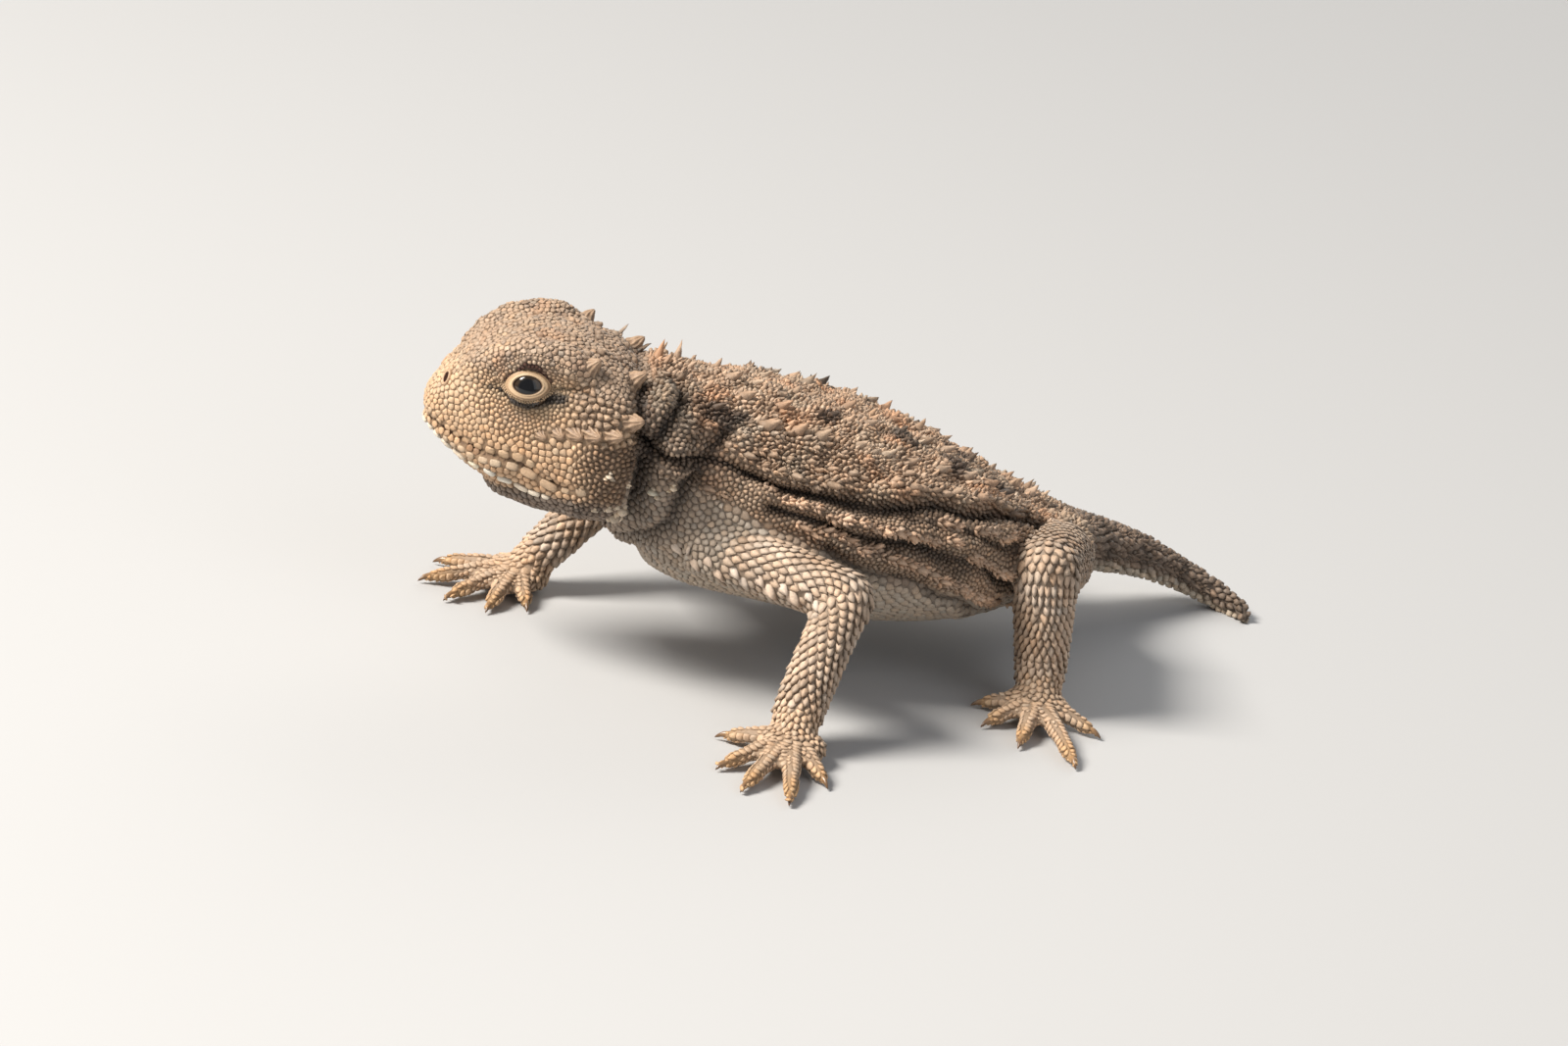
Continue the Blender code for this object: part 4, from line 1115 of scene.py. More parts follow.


# In each form the last values, how light its rings are, darken the lower rings as painted shade at the
# scales' feet.
FORMS = {
    Shape.GRANULE: ScaleForm(6, ((1.0, -0.5), (0.8, 0.6)), tones=(0.4, 0.92, 1.08)),
    Shape.BEAD: ScaleForm(8, ((0.96, -0.4), (0.88, 0.35), (0.52, 0.86)), tones=(0.35, 0.85, 1.05, 1.12)),
    Shape.PLATE: ScaleForm(8, ((1.0, -0.6), (0.9, 0.55), (0.6, 0.9)), tones=(0.4, 0.86, 1.0, 1.04)),
    Shape.LEAF: ScaleForm(
        8, ((1.0, -0.5), (0.88, 0.45), (0.5, 0.85)), point=0.15, rise=0.3, tones=(0.45, 0.88, 1.0, 1.0)
    ),
    Shape.KEELED: ScaleForm(
        8, ((1.0, -0.5), (0.88, 0.32), (0.48, 0.7)), point=0.2, blunt=0.05, keel=0.45, rise=0.35,
        tones=(0.42, 0.86, 1.0, 1.1),
    ),
    Shape.POINTED: ScaleForm(
        8, ((1.0, -0.5), (0.9, 0.3), (0.5, 0.66)), point=0.4, blunt=0.08, keel=0.5, rise=0.35,
        tones=(0.35, 0.84, 1.0, 1.1),
    ),
    Shape.THORN: ScaleForm(
        7, ((1.0, -0.3), (0.76, 0.14), (0.46, 0.42), (0.22, 0.74)), tones=(0.5, 0.8, 1.0, 1.08, 1.05)
    ),
    Shape.KNOB: ScaleForm(
        8, ((1.0, -0.3), (0.88, 0.25), (0.62, 0.62), (0.3, 0.88)), point=0.15, rise=0.12,
        tones=(0.45, 0.82, 1.0, 1.08, 1.1),
    ),
}


@dataclass(frozen=True)
class Kind:
    """One kind of scale among neighbours that share the skin out between them.

    Attributes:
        shape: Its form.
        spacing: The distance between neighbours, in millimetres.
        height: Its height.
        fill: The share of its room that it takes up.
        rear: How much further its rear reaches.
        tilt: How far its rear stands up, in degrees.
        jitter: How much its height and colour vary.
        rough: How uneven its surface is, in millimetres.
    """

    shape: Shape
    spacing: float
    height: float
    fill: float = 0.97
    rear: float = 1.0
    tilt: float = 0.0
    jitter: float = 0.08
    rough: float = 0.01


class Kinds(Enum):
    """The kinds of scale that cover the body, each as form, spacing, height and so on."""

    CROWN = Kind(Shape.PLATE, 0.34, 0.085, 1.0, 1.0, 3, 0.08, 0.024)
    SNOUT = Kind(Shape.PLATE, 0.35, 0.085, 1.0, 1.0, 1, 0.06, 0.012)
    CHEEK = Kind(Shape.PLATE, 0.4, 0.11, 1.0, 1.0, 3, 0.08, 0.014)
    TEMPLE = Kind(Shape.KEELED, 0.42, 0.17, 1.0, 1.05, 9, 0.12, 0.032)
    LID = Kind(Shape.GRANULE, 0.24, 0.11, 0.95, 1.0, 0, 0.1, 0.006)
    SOCKET = Kind(Shape.GRANULE, 0.33, 0.13, 0.96, 1.0, 2, 0.1, 0.01)
    JAW_BEAD = Kind(Shape.BEAD, 0.33, 0.19, 0.84, 1.0, 0, 0.14, 0.006)
    THROAT = Kind(Shape.LEAF, 0.4, 0.12, 0.98, 1.1, 6, 0.1, 0.006)
    NECK = Kind(Shape.BEAD, 0.33, 0.18, 0.94, 1.0, 4, 0.16, 0.012)
    BACK = Kind(Shape.KEELED, 0.31, 0.2, 0.98, 1.05, 12, 0.17, 0.018)
    FLANK = Kind(Shape.GRANULE, 0.28, 0.15, 0.95, 1.0, 4, 0.15, 0.01)
    BELLY = Kind(Shape.LEAF, 0.5, 0.08, 0.99, 1.15, 4, 0.05, 0.004)
    ARM = Kind(Shape.POINTED, 0.54, 0.09, 1.0, 1.28, 12, 0.08, 0.008)
    UNDERARM = Kind(Shape.LEAF, 0.44, 0.11, 0.98, 1.1, 7, 0.08, 0.006)
    FOREARM = Kind(Shape.POINTED, 0.56, 0.13, 1.0, 1.4, 20, 0.1, 0.012)
    PAW = Kind(Shape.POINTED, 0.4, 0.1, 1.0, 1.3, 13, 0.07, 0.008)
    DIGIT = Kind(Shape.LEAF, 0.3, 0.07, 1.0, 1.1, 5, 0.05, 0.005)
    SCUTE = Kind(Shape.LEAF, 0.66, 0.1, 1.02, 1.12, 8, 0.04, 0.005)
    TAIL = Kind(Shape.KEELED, 0.46, 0.18, 1.0, 1.25, 13, 0.13, 0.012)


KINDS = [entry.value for entry in Kinds]


def number_of(entry: Kinds) -> int:
    """Returns the place of a kind among all the kinds."""
    return list(Kinds).index(entry)


class Coat:
    """All the scales and spines, gathered as rows and made into a few joined pieces."""

    # The share of the unwrap's width that a scale's own outline takes up.
    CHART_PATCH = 0.0015
    # The share of its size that a scale keeps clear of others on each side.
    ROOM = 0.42
    # How many random places are tried for each scale that finds room.
    TRIES = 8
    # The rounds in which scales move apart, and how far they go for how much too near they are.
    ROUNDS = 4
    PUSH = 0.24

    def __init__(self, skin: Skin) -> None:
        """Starts an empty coat on a skin."""
        self.skin = skin
        self.draw = np.random.default_rng(SEED)
        self.rows: list[dict] = []
        self.sown: list[tuple[Array, Array]] = []
        self.clear: list[tuple[Array, float]] = []
        self.marks = Markings()

    def add(self, roots: Array, normals: Array, lies: Array, sizes: Array, tilt: float,
            shape: Shape, paint: Row | None = None, jitter: float = 0.08,
            rough: float = 0.01, room: float = ROOM, cells: Array | None = None) -> None:
        """Adds scales of one form.

        Args:
            roots: Their places on the skin.
            normals: The directions they stand up along.
            lies: The directions their rears point along.
            sizes: Their length, width and height.
            tilt: How far their rears stand up, in degrees.
            shape: Their form.
            paint: A colour to take instead of the colours by place.
            jitter: How much their brightness varies.
            rough: How uneven their surface is.
            room: The share of their size that other scales keep clear of.
            cells: For each scale the reach of its outline, side by side, in millimetres.
        """
        roots, normals = np.atleast_2d(roots), unit(np.atleast_2d(normals))
        lies = np.atleast_2d(lies)
        lies = unit(flattened(lies, normals))
        across = np.cross(normals, lies)
        lean = math.radians(tilt)
        long = lies * math.cos(lean) + normals * math.sin(lean)
        tall = normals * math.cos(lean) - lies * math.sin(lean)
        sizes = np.broadcast_to(sizes, (len(roots), 3))
        axes = np.stack([long * sizes[:, :1] / 2, across * sizes[:, 1:2] / 2, tall * sizes[:, 2:]], axis=1)
        reading = ANATOMY.read(roots)
        colours = self.marks.colour(roots, normals, reading) if paint is None else np.array(paint)
        light = 1 + jitter * self.draw.normal(size=(len(roots), 1))
        warm = 1 + 0.03 * self.draw.normal(size=(len(roots), 1)) * (1.0, 0.0, -1.0)
        self.rows.append({
            "roots": roots, "axes": axes, "colours": np.clip(colours * light * warm, 0.008, 0.85),
            "reading": reading, "shape": shape, "rough": rough, "cells": cells,
            "reach": np.maximum(sizes[:, 0], sizes[:, 1]) * room,
        })

    def sow(self, points: Array, kinds: Array) -> None:
        """Sets the places and kinds of scales that share the skin with the ones that fill it."""
        if len(points):
            self.sown.append((np.asarray(points), np.asarray(kinds)))

    def keep_off(self, place: Array, reach: float) -> None:
        """Keeps the skin clear of scales round a place, for a piece that stands there."""
        self.clear.append((place, reach))

    def kinds_at(self, points: Array, reading: Reading, normals: Array) -> Array:
        """Returns the number of the kind of scale that grows at each point."""
        kind = np.full(len(points), number_of(Kinds.BACK))
        forward, _, up = reading.local.T

        def put(mask: Array, which: Kinds) -> None:
            kind[mask] = number_of(which)

        trunk = reading.on(Region.TRUNK)
        angle, place = reading.angle, reading.place
        put(trunk & (angle < 15) & (place > -3), Kinds.FLANK)
        put(trunk & (angle < -9), Kinds.BELLY)
        put(trunk & (place < -1.5) & (angle < 34), Kinds.NECK)
        put(trunk & (place < 1.5) & (angle < -14), Kinds.THROAT)
        put(reading.on(Region.TAIL), Kinds.TAIL)
        head = reading.on(Region.HEAD)
        put(head, Kinds.CHEEK)
        put(head & (forward > -4.2), Kinds.SNOUT)
        put(head & (forward < -8.4) & (up > -0.6), Kinds.TEMPLE)
        skyward = normals @ PLAN.head.matrix()[2]
        put(head & ((skyward > 0.42) | (up > 3.4)) & (forward < -1.2) & (up > 0), Kinds.CROWN)
        put(head & (forward < -8.8) & (up < -0.4), Kinds.JAW_BEAD)
        put(head & (above_mouth(reading.local)[0] < -1.9) & (forward < -0.6), Kinds.THROAT)
        for side in (1, -1):
            measure, _, distance = eye_measure(points, side)
            put(head & (measure < 4.2) & (distance < 3.4) & (up < 3.6), Kinds.SOCKET)
            put(head & (measure < 3.0) & (distance < 2.8), Kinds.LID)
        put(head & (forward < -12.4) & (up < 2.8) & (up > -4.0), Kinds.NECK)
        for region, which in ((Region.UPPER, Kinds.ARM), (Region.LOWER, Kinds.FOREARM),
                              (Region.PAW, Kinds.PAW), (Region.DIGIT, Kinds.DIGIT)):
            put(reading.on(region), which)
        limb = reading.on(Region.UPPER, Region.LOWER)
        put(limb & (normals[:, 2] < -0.3), Kinds.UNDERARM)
        return kind

    def blocked(self, points: Array, spacing: Array, fixed: Array, room: Array) -> Array:
        """Returns which points lie too near to scales and spines that are set already."""
        tree = tree_of(points)
        gone = np.zeros(len(points), bool)
        for root, reach in zip(fixed.tolist(), room.tolist()):
            for _, index, distance in tree.find_range(root, reach + 0.4):
                if distance < reach + spacing[index] * self.ROOM:
                    gone[index] = True
        return gone

    def fill(self) -> None:
        """Covers all skin that is still bare, and lets the scales share it out as cells."""
        spacings = np.array([kind.spacing for kind in KINDS])
        corners = self.skin.points[self.skin.faces]
        areas = lengths(np.cross(corners[:, 1] - corners[:, 0], corners[:, 2] - corners[:, 0])) / 2
        centres = corners.mean(axis=1)
        face_normals = unit(self.skin.normals[self.skin.faces].mean(axis=1))
        spacing = spacings[self.kinds_at(centres, ANATOMY.read(centres), face_normals)]
        weights = areas / spacing**2
        count = int(weights.sum() * self.TRIES)
        chosen = self.draw.choice(len(areas), count, p=weights / weights.sum())
        shares = self.draw.dirichlet((1, 1, 1), count)
        points = (corners[chosen] * shares[:, :, None]).sum(axis=1)
        normals = unit((self.skin.normals[self.skin.faces[chosen]] * shares[:, :, None]).sum(axis=1))
        kept = self.bare(points, normals)
        points, spacing = points[kept], spacing[chosen][kept]
        sown = np.concatenate([row[0] for row in self.sown])
        sown_kinds = np.concatenate([row[1] for row in self.sown])
        big = np.concatenate([row["roots"] for row in self.rows])
        reach = np.concatenate([row["reach"] for row in self.rows])
        clear = ~self.blocked(sown, spacings[sown_kinds], big, reach)
        sown, sown_kinds = sown[clear], sown_kinds[clear]
        fixed = np.concatenate([big, sown, [place for place, _ in self.clear]])
        room = np.concatenate([reach, spacings[sown_kinds] * self.ROOM, [width for _, width in self.clear]])
        clear = ~self.blocked(points, spacing, fixed, room)
        points, spacing = points[clear], spacing[clear]
        tree = tree_of(points)
        gone = np.zeros(len(points), bool)
        taken = []
        for index, (point, around) in enumerate(zip(points.tolist(), (spacing * 0.8).tolist())):
            if not gone[index]:
                taken.append(index)
                for _, other, _ in tree.find_range(point, around):
                    gone[other] = True
        points, spacing = points[taken], spacing[taken]
        for _ in range(self.ROUNDS):
            points = self.spread(points, spacing, fixed, room)
        LOG.info("%d scales set in rows, %d between them", len(sown), len(points))
        points, normals = self.skin.settle(np.concatenate([sown, points]))
        reading = ANATOMY.read(points)
        kinds = self.kinds_at(points, reading, normals)
        kinds[: len(sown)] = sown_kinds
        lies = unit(flattened(reading.lie, normals) + 1e-4)
        reaches = self.cells(points, normals, lies, spacings[kinds], big, reach)
        for number, kind in enumerate(KINDS):
            here = kinds == number
            if not here.any():
                continue
            cells = reaches(here, FORMS[kind.shape].sides) * kind.fill
            turns = np.cos(np.arange(cells.shape[1]) * 2 * math.pi / cells.shape[1])
            cells = cells * (1 + (kind.rear - 1) * np.maximum(turns, 0) ** 2)
            heights = kind.height * (1 + kind.jitter * 1.5 * self.draw.uniform(-1, 1, here.sum()))
            sizes = np.stack([np.full(len(heights), 2.0)] * 2 + [heights], axis=1)
            self.add(points[here], normals[here], lies[here], sizes, kind.tilt, kind.shape,
                     None, kind.jitter, kind.rough, cells=cells)

    def cells(self, points: Array, normals: Array, lies: Array, spacing: Array, big: Array,
              reach: Array) -> Callable[[Array, int], Array]:
        """Shares the skin out between neighbours.

        Args:
            points: The scales' places.
            normals: The skin's normals there.
            lies: The directions along it that their rears point in.
            spacing: The distance that they keep from their own kind.
            big: The places of the scales and spines that are set already.
            reach: Their half sizes.

        Returns:
            A function that gives chosen scales' outlines with that many sides.
        """
        everything = np.concatenate([points, big])
        weights = np.concatenate([spacing, reach * 2])
        tree = tree_of(everything)
        near = np.empty((len(points), 10), int)
        for index, point in enumerate(points.tolist()):
            near[index] = [found[1] for found in tree.find_n(point, 11)][1:]
        away = everything[near] - points[:, None]
        along = (away * lies[:, None]).sum(axis=2)
        across = (away * np.cross(normals, lies)[:, None]).sum(axis=2)
        distance = np.maximum(np.hypot(along, across), 1e-3)
        part = distance * spacing[:, None] / (spacing[:, None] + weights[near])

        def outlines(chosen: Array, sides: int) -> Array:
            turns = np.arange(sides) * 2 * math.pi / sides
            facing = along[chosen][..., None] * np.cos(turns) + across[chosen][..., None] * np.sin(turns)
            facing = facing / distance[chosen][..., None]
            reaches = np.where(facing > 0.05, part[chosen][..., None] / np.maximum(facing, 0.05), np.inf)
            half = spacing[chosen][:, None] / 2
            return np.clip(reaches.min(axis=1), half * 0.5, half * 1.5)

        return outlines

    def spread(self, points: Array, spacing: Array, fixed: Array, room: Array) -> Array:
        """Moves points apart from their near neighbours, so that they lie evenly."""
        tree = tree_of(np.concatenate([points, fixed]))
        own = np.concatenate([spacing * 0.5, room]).tolist()
        moved = points.copy()
        for index, point in enumerate(points.tolist()):
            push = Vector((0, 0, 0))
            for place, other, distance in tree.find_range(point, own[index] * 3.2):
                apart = (own[index] + own[other]) * 1.3
                if 1e-6 < distance < apart:
                    push += (Vector(point) - place) * ((apart - distance) / distance)
            push *= self.PUSH
            if push.length > own[index] * 0.6:
                push.length = own[index] * 0.6
            moved[index] += np.array(push)
        return self.skin.settle(moved)[0]

    def bare(self, points: Array, normals: Array) -> Array:
        """Returns which points may carry a scale: off the soles, the eyes and the mouth line."""
        kept = (points[:, 2] > 0.16) | (normals[:, 2] > -0.5)
        for side in (1, -1):
            measure, lift, distance = eye_measure(points, side)
            kept &= ~((measure < 1.5 - 0.36 * ramp(lift, 2, 10)) & (distance < PLAN.eye_radius + 1.6))
        local = PLAN.head.local(points)
        level, turn = above_mouth(local)
        return kept & ~((np.abs(level) < 0.17) & (turn < MOUTH.corner) & (local[:, 0] > -12))

    def piece_of(self, row: dict) -> Array:
        """Returns the name of the piece that each scale of a row belongs to."""
        reading = row["reading"]
        trunk = reading.on(Region.TRUNK)
        head = reading.on(Region.HEAD)
        on_left = np.where(head, reading.local[:, 1] >= 0, row["roots"][:, 0] > -0.6)
        word = np.where(on_left, "left", "right")
        names = np.where(reading.place < 8, "scales_shoulders_", "scales_back_")
        names = np.where(head, "scales_head_", names)
        names = np.char.add(names, word)
        names = np.where(trunk & (reading.angle < -9), "scales_belly", names)
        names = np.where(reading.on(Region.TAIL), "scales_tail", names)
        for number, leg in enumerate(PLAN.limbs):
            names = np.where(reading.limb == number, f"scales_{leg.name}", names)
        return names

    def build(self) -> list[Piece]:
        """Makes the pieces, each a joined mesh of all the scales on its stretch of the body."""
        forms = {shape: form.build() for shape, form in FORMS.items()}
        parts: dict[str, list] = {}
        for row in self.rows:
            names = self.piece_of(row)
            for name in np.unique(names):
                parts.setdefault(str(name), []).append((row, names == name))
        pieces = []
        for name, shares in sorted(parts.items()):
            points, faces, colours, charts, count = [], [], [], [], 0
            for row, mask in shares:
                form, triangles, tones = forms[row["shape"]]
                number = int(mask.sum())
                placed = np.broadcast_to(form, (number, *form.shape)).copy()
                if row["cells"] is not None:
                    sides = FORMS[row["shape"]].sides
                    placed[:, :, :2] *= row["cells"][mask][:, np.arange(len(form)) % sides, None]
                placed = row["roots"][mask][:, None] + np.einsum("nkj,njc->nkc", placed, row["axes"][mask])
                placed += self.draw.normal(size=placed.shape) * row["rough"]
                points.append(placed.reshape(-1, 3))
                base = count + np.arange(number) * len(form)
                faces.append((triangles[None] + base[:, None, None]).reshape(-1, 3))
                # Each scale's colour, darkened towards its foot as painted shade by its form's ring values.
                tone = tones[None, :, None] * row["colours"][mask][:, None, :]
                colours.append(np.clip(tone, 0, 0.9).reshape(-1, 3))
                patch = row["reading"].chart[mask][:, None, :] + form[None, :, :2] * self.CHART_PATCH
                charts.append(patch.reshape(-1, 2))
                count += number * len(form)
            joined = (np.concatenate(part) for part in (points, faces, colours, charts))
            pieces.append(self.piece(name, *joined))
        return pieces

    def piece(self, name: str, points: Array, faces: Array, colours: Array, charts: Array) -> Piece:
        """Makes one joined piece with its colours, painted shade included, and its unwrap."""
        points[:, 2] = np.maximum(points[:, 2], 0.01)
        mesh = bpy.data.meshes.new(name)
        mesh.from_pydata(PLAN.to_scene(points), [], faces.tolist())
        obj = bpy.data.objects.new(name, mesh)
        bpy.context.scene.collection.objects.link(obj)
        Mesh(obj).colour(colours)
        unwrap = mesh.uv_layers.new(name="OFBake")
        unwrap.data.foreach_set("uv", charts[faces.ravel()].astype(np.float32).ravel())
        mesh.shade_smooth()
        LOG.info("%s: %d triangles", name, len(faces))
        return obj


class HeadScales:
    """The scales of the head that are set one by one: lips, temples, lids and jaw."""

    # Rows of single scales as forward, side, up, length and width, on the head's axes: the white
    # row under the lower lip, the lower lip, the upper lip.
    WHITE = (
        (-0.15, 0.4, -0.8, 0.5, 0.34), (-0.4, 0.9, -1.1, 0.55, 0.36), (-0.75, 1.35, -1.45, 0.7, 0.4),
        (-1.3, 1.8, -1.9, 0.95, 0.42), (-2.1, 2.2, -2.4, 1.15, 0.46), (-3.0, 2.65, -2.8, 0.85, 0.48),
        (-3.9, 3.2, -3.1, 0.9, 0.5), (-4.8, 3.15, -3.65, 1.1, 0.5), (-5.8, 3.3, -4.05, 1.1, 0.48),
        (-6.6, 3.6, -4.25, 0.9, 0.4), (-7.3, 3.85, -4.35, 0.6, 0.34),
    )
    LOWER = (
        (-1.3, 2.0, -1.45, 0.45, 0.36), (-1.8, 2.25, -1.7, 0.5, 0.38), (-2.35, 2.5, -1.95, 0.6, 0.42),
        (-2.9, 2.75, -2.15, 0.65, 0.44), (-3.55, 3.05, -2.35, 0.72, 0.48), (-4.3, 3.55, -2.4, 0.8, 0.52),
        (-5.2, 3.9, -2.52, 0.88, 0.56), (-6.2, 4.15, -2.85, 1.2, 0.66), (-7.42, 4.4, -3.45, 1.3, 0.62),
        (-8.4, 4.8, -3.65, 0.62, 0.42), (-9.35, 5.2, -3.55, 0.75, 0.66),
    )
    UPPER = (
        (-0.45, 1.3, -0.25, 0.4, 0.34), (-0.85, 1.75, -0.45, 0.44, 0.36), (-1.35, 2.1, -0.75, 0.5, 0.4),
        (-1.85, 2.4, -1.1, 0.55, 0.44), (-2.4, 2.7, -1.4, 0.6, 0.46), (-3.1, 3.15, -1.6, 0.66, 0.5),
        (-3.85, 3.55, -1.68, 0.7, 0.52), (-4.65, 3.9, -1.76, 0.76, 0.6), (-5.5, 4.2, -1.8, 0.82, 0.7),
        (-6.25, 4.4, -2.15, 0.6, 0.62),
    )
    # Height and colour of each row.
    LIPS = (
        (WHITE, 0.2, (0.80, 0.70, 0.57)),
        (LOWER, 0.1, (0.54, 0.39, 0.26)),
        (UPPER, 0.09, (0.58, 0.40, 0.25)),
    )
    # Pale pointed scales behind and below the jaw, in the same form.
    SPIKES = (
        (-10.9, 5.66, -2.33, 0.75, 0.6), (-12.1, 4.9, -3.1, 0.55, 0.45), (-13.7, 4.3, -3.7, 0.85, 0.5),
        (-14.75, 4.3, -3.4, 0.75, 0.6), (-10.2, 4.8, -4.8, 0.45, 0.35), (-11.0, 4.8, -4.7, 0.6, 0.42),
        (-11.4, 3.95, -5.45, 0.95, 0.48), (-11.8, 4.3, -4.95, 0.9, 0.5), (-11.5, 4.6, -4.6, 0.45, 0.36),
    )
    SPIKE_COLOUR = (0.76, 0.62, 0.47)
    # The scales of one group of spikes: how far back and down each stands, and its size.
    GROUP = ((0.0, 0.0, 0.72), (0.3, 0.3, 0.5), (-0.28, 0.22, 0.45), (0.1, -0.3, 0.4))
    # Low knobs on the crown: their size, and where they stand, forward and sideways.
    KNOB = (0.62, 0.58, 0.3)
    CROWN = (
        (-11.9, 1.3), (-10.3, 2.6), (-8.6, 1.6), (-10.2, 0.5),
        (-6.6, 2.2), (-11.3, 2.2), (-12.3, 0.4), (-9.4, 3.3),
    )
    # The rows of granules round each eye: their measure, size and colour.
    LIDS = (
        (1.17, 0.14, (0.50, 0.35, 0.215)),
        (1.3, 0.15, (0.47, 0.33, 0.205)),
        (1.44, 0.16, None),
    )
    # What makes an eight-sided outline nearly square.
    SQUARE = np.array([(0.98, 1.15) * 4])

    def __init__(self, coat: Coat) -> None:
        """Takes the coat that the scales are added to."""
        self.coat = coat
        self.skin = coat.skin

    def spot(self, place: Row, side: int) -> tuple[Array, Array]:
        """Returns the place on the skin nearest to one on the head's axes, and its normal."""
        return self.skin.nearest(PLAN.head.point(place, side))

    def lips(self) -> None:
        """Sets the rows of long scales along both lips and the white row under them."""
        for side in (1, -1):
            for rows, height, paint in self.LIPS:
                found = [self.spot(row[:3], side) for row in rows]
                ways = np.gradient(np.array([place for place, _ in found]), axis=0)
                for (place, normal), way, (*_, length, width) in zip(found, ways, rows):
                    self.coat.add(
                        place, normal, way, (length, width, height), 2, Shape.PLATE, paint, 0.05, 0.012, 0.24,
                        self.SQUARE,
                    )
                    for end in (-0.36, 0.36):
                        self.coat.keep_off(place + unit(way) * end * length, width * 0.36)

    def temples(self) -> None:
        """Sets the pale pointed scales of the jaw and the low knobs of the crown."""
        for side in (1, -1):
            for *spot, length, width in self.SPIKES:
                way = PLAN.head.direction((-1, 0.25, -0.3), side)
                for back, down, share in self.GROUP:
                    place, normal = self.spot(np.array(spot) - (back * length, 0, down * length), side)
                    sizes = np.array([length, width * 0.8, length * 0.5]) * share
                    self.coat.add(
                        place, normal, way, sizes, 24, Shape.POINTED, self.SPIKE_COLOUR, 0.1, 0.012, 0.3
                    )
            for x, y in self.CROWN:
                above = PLAN.head.direction((0, 0, 1))
                place, normal = self.skin.hit(PLAN.head.point((x, y, 0), side), above)
                way = normal + PLAN.head.direction((-0.5, 0, 0))
                self.coat.add(place, way, normal, self.KNOB, 0, Shape.KNOB, None, 0.1, 0.035, 0.36)

    def lids(self) -> None:
        """Sets three rows of granules round each eye's rim; the skin beyond fills itself."""
        turns = np.linspace(0.5, 0.5 + 2 * math.pi, 400, endpoint=False)
        for side in (1, -1):
            for measure, size, paint in self.LIDS:
                centre, ways = EyeSet.ways(side, turns, measure)
                last = None
                for way in ways[np.sin(turns) < (2 if paint is None else 0.35)]:
                    found = self.skin.hit(centre, way, 4.0)
                    if found is not None and (last is None or np.linalg.norm(found[0] - last) > size):
                        lie = np.cross(found[1], way) if last is None else found[0] - last
                        sizes = np.array([1.08, 1.04, 0.5]) * size * self.coat.draw.uniform(0.92, 1.08, 3)
                        self.coat.add(*found, unit(lie + 1e-6), sizes, 0, Shape.GRANULE, paint, room=0.3)
                        last = found[0]


@dataclass(frozen=True)
class Clump:
    """A spine or knob with small scales round its foot.

    Attributes:
        place: Where it stands on the skin.
        back: The direction along the body towards the tail.
        height: How tall it is.
        width: How wide its foot is.
        stretch: How much longer than wide its foot is.
        lean: How far it leans back.
        shape: Its form.
        paint: A colour to take instead of the colours by place.
    """

    place: Array
    back: Array
    height: float
    width: float
    stretch: float
    lean: float
    shape: Shape
    paint: tuple | None = None


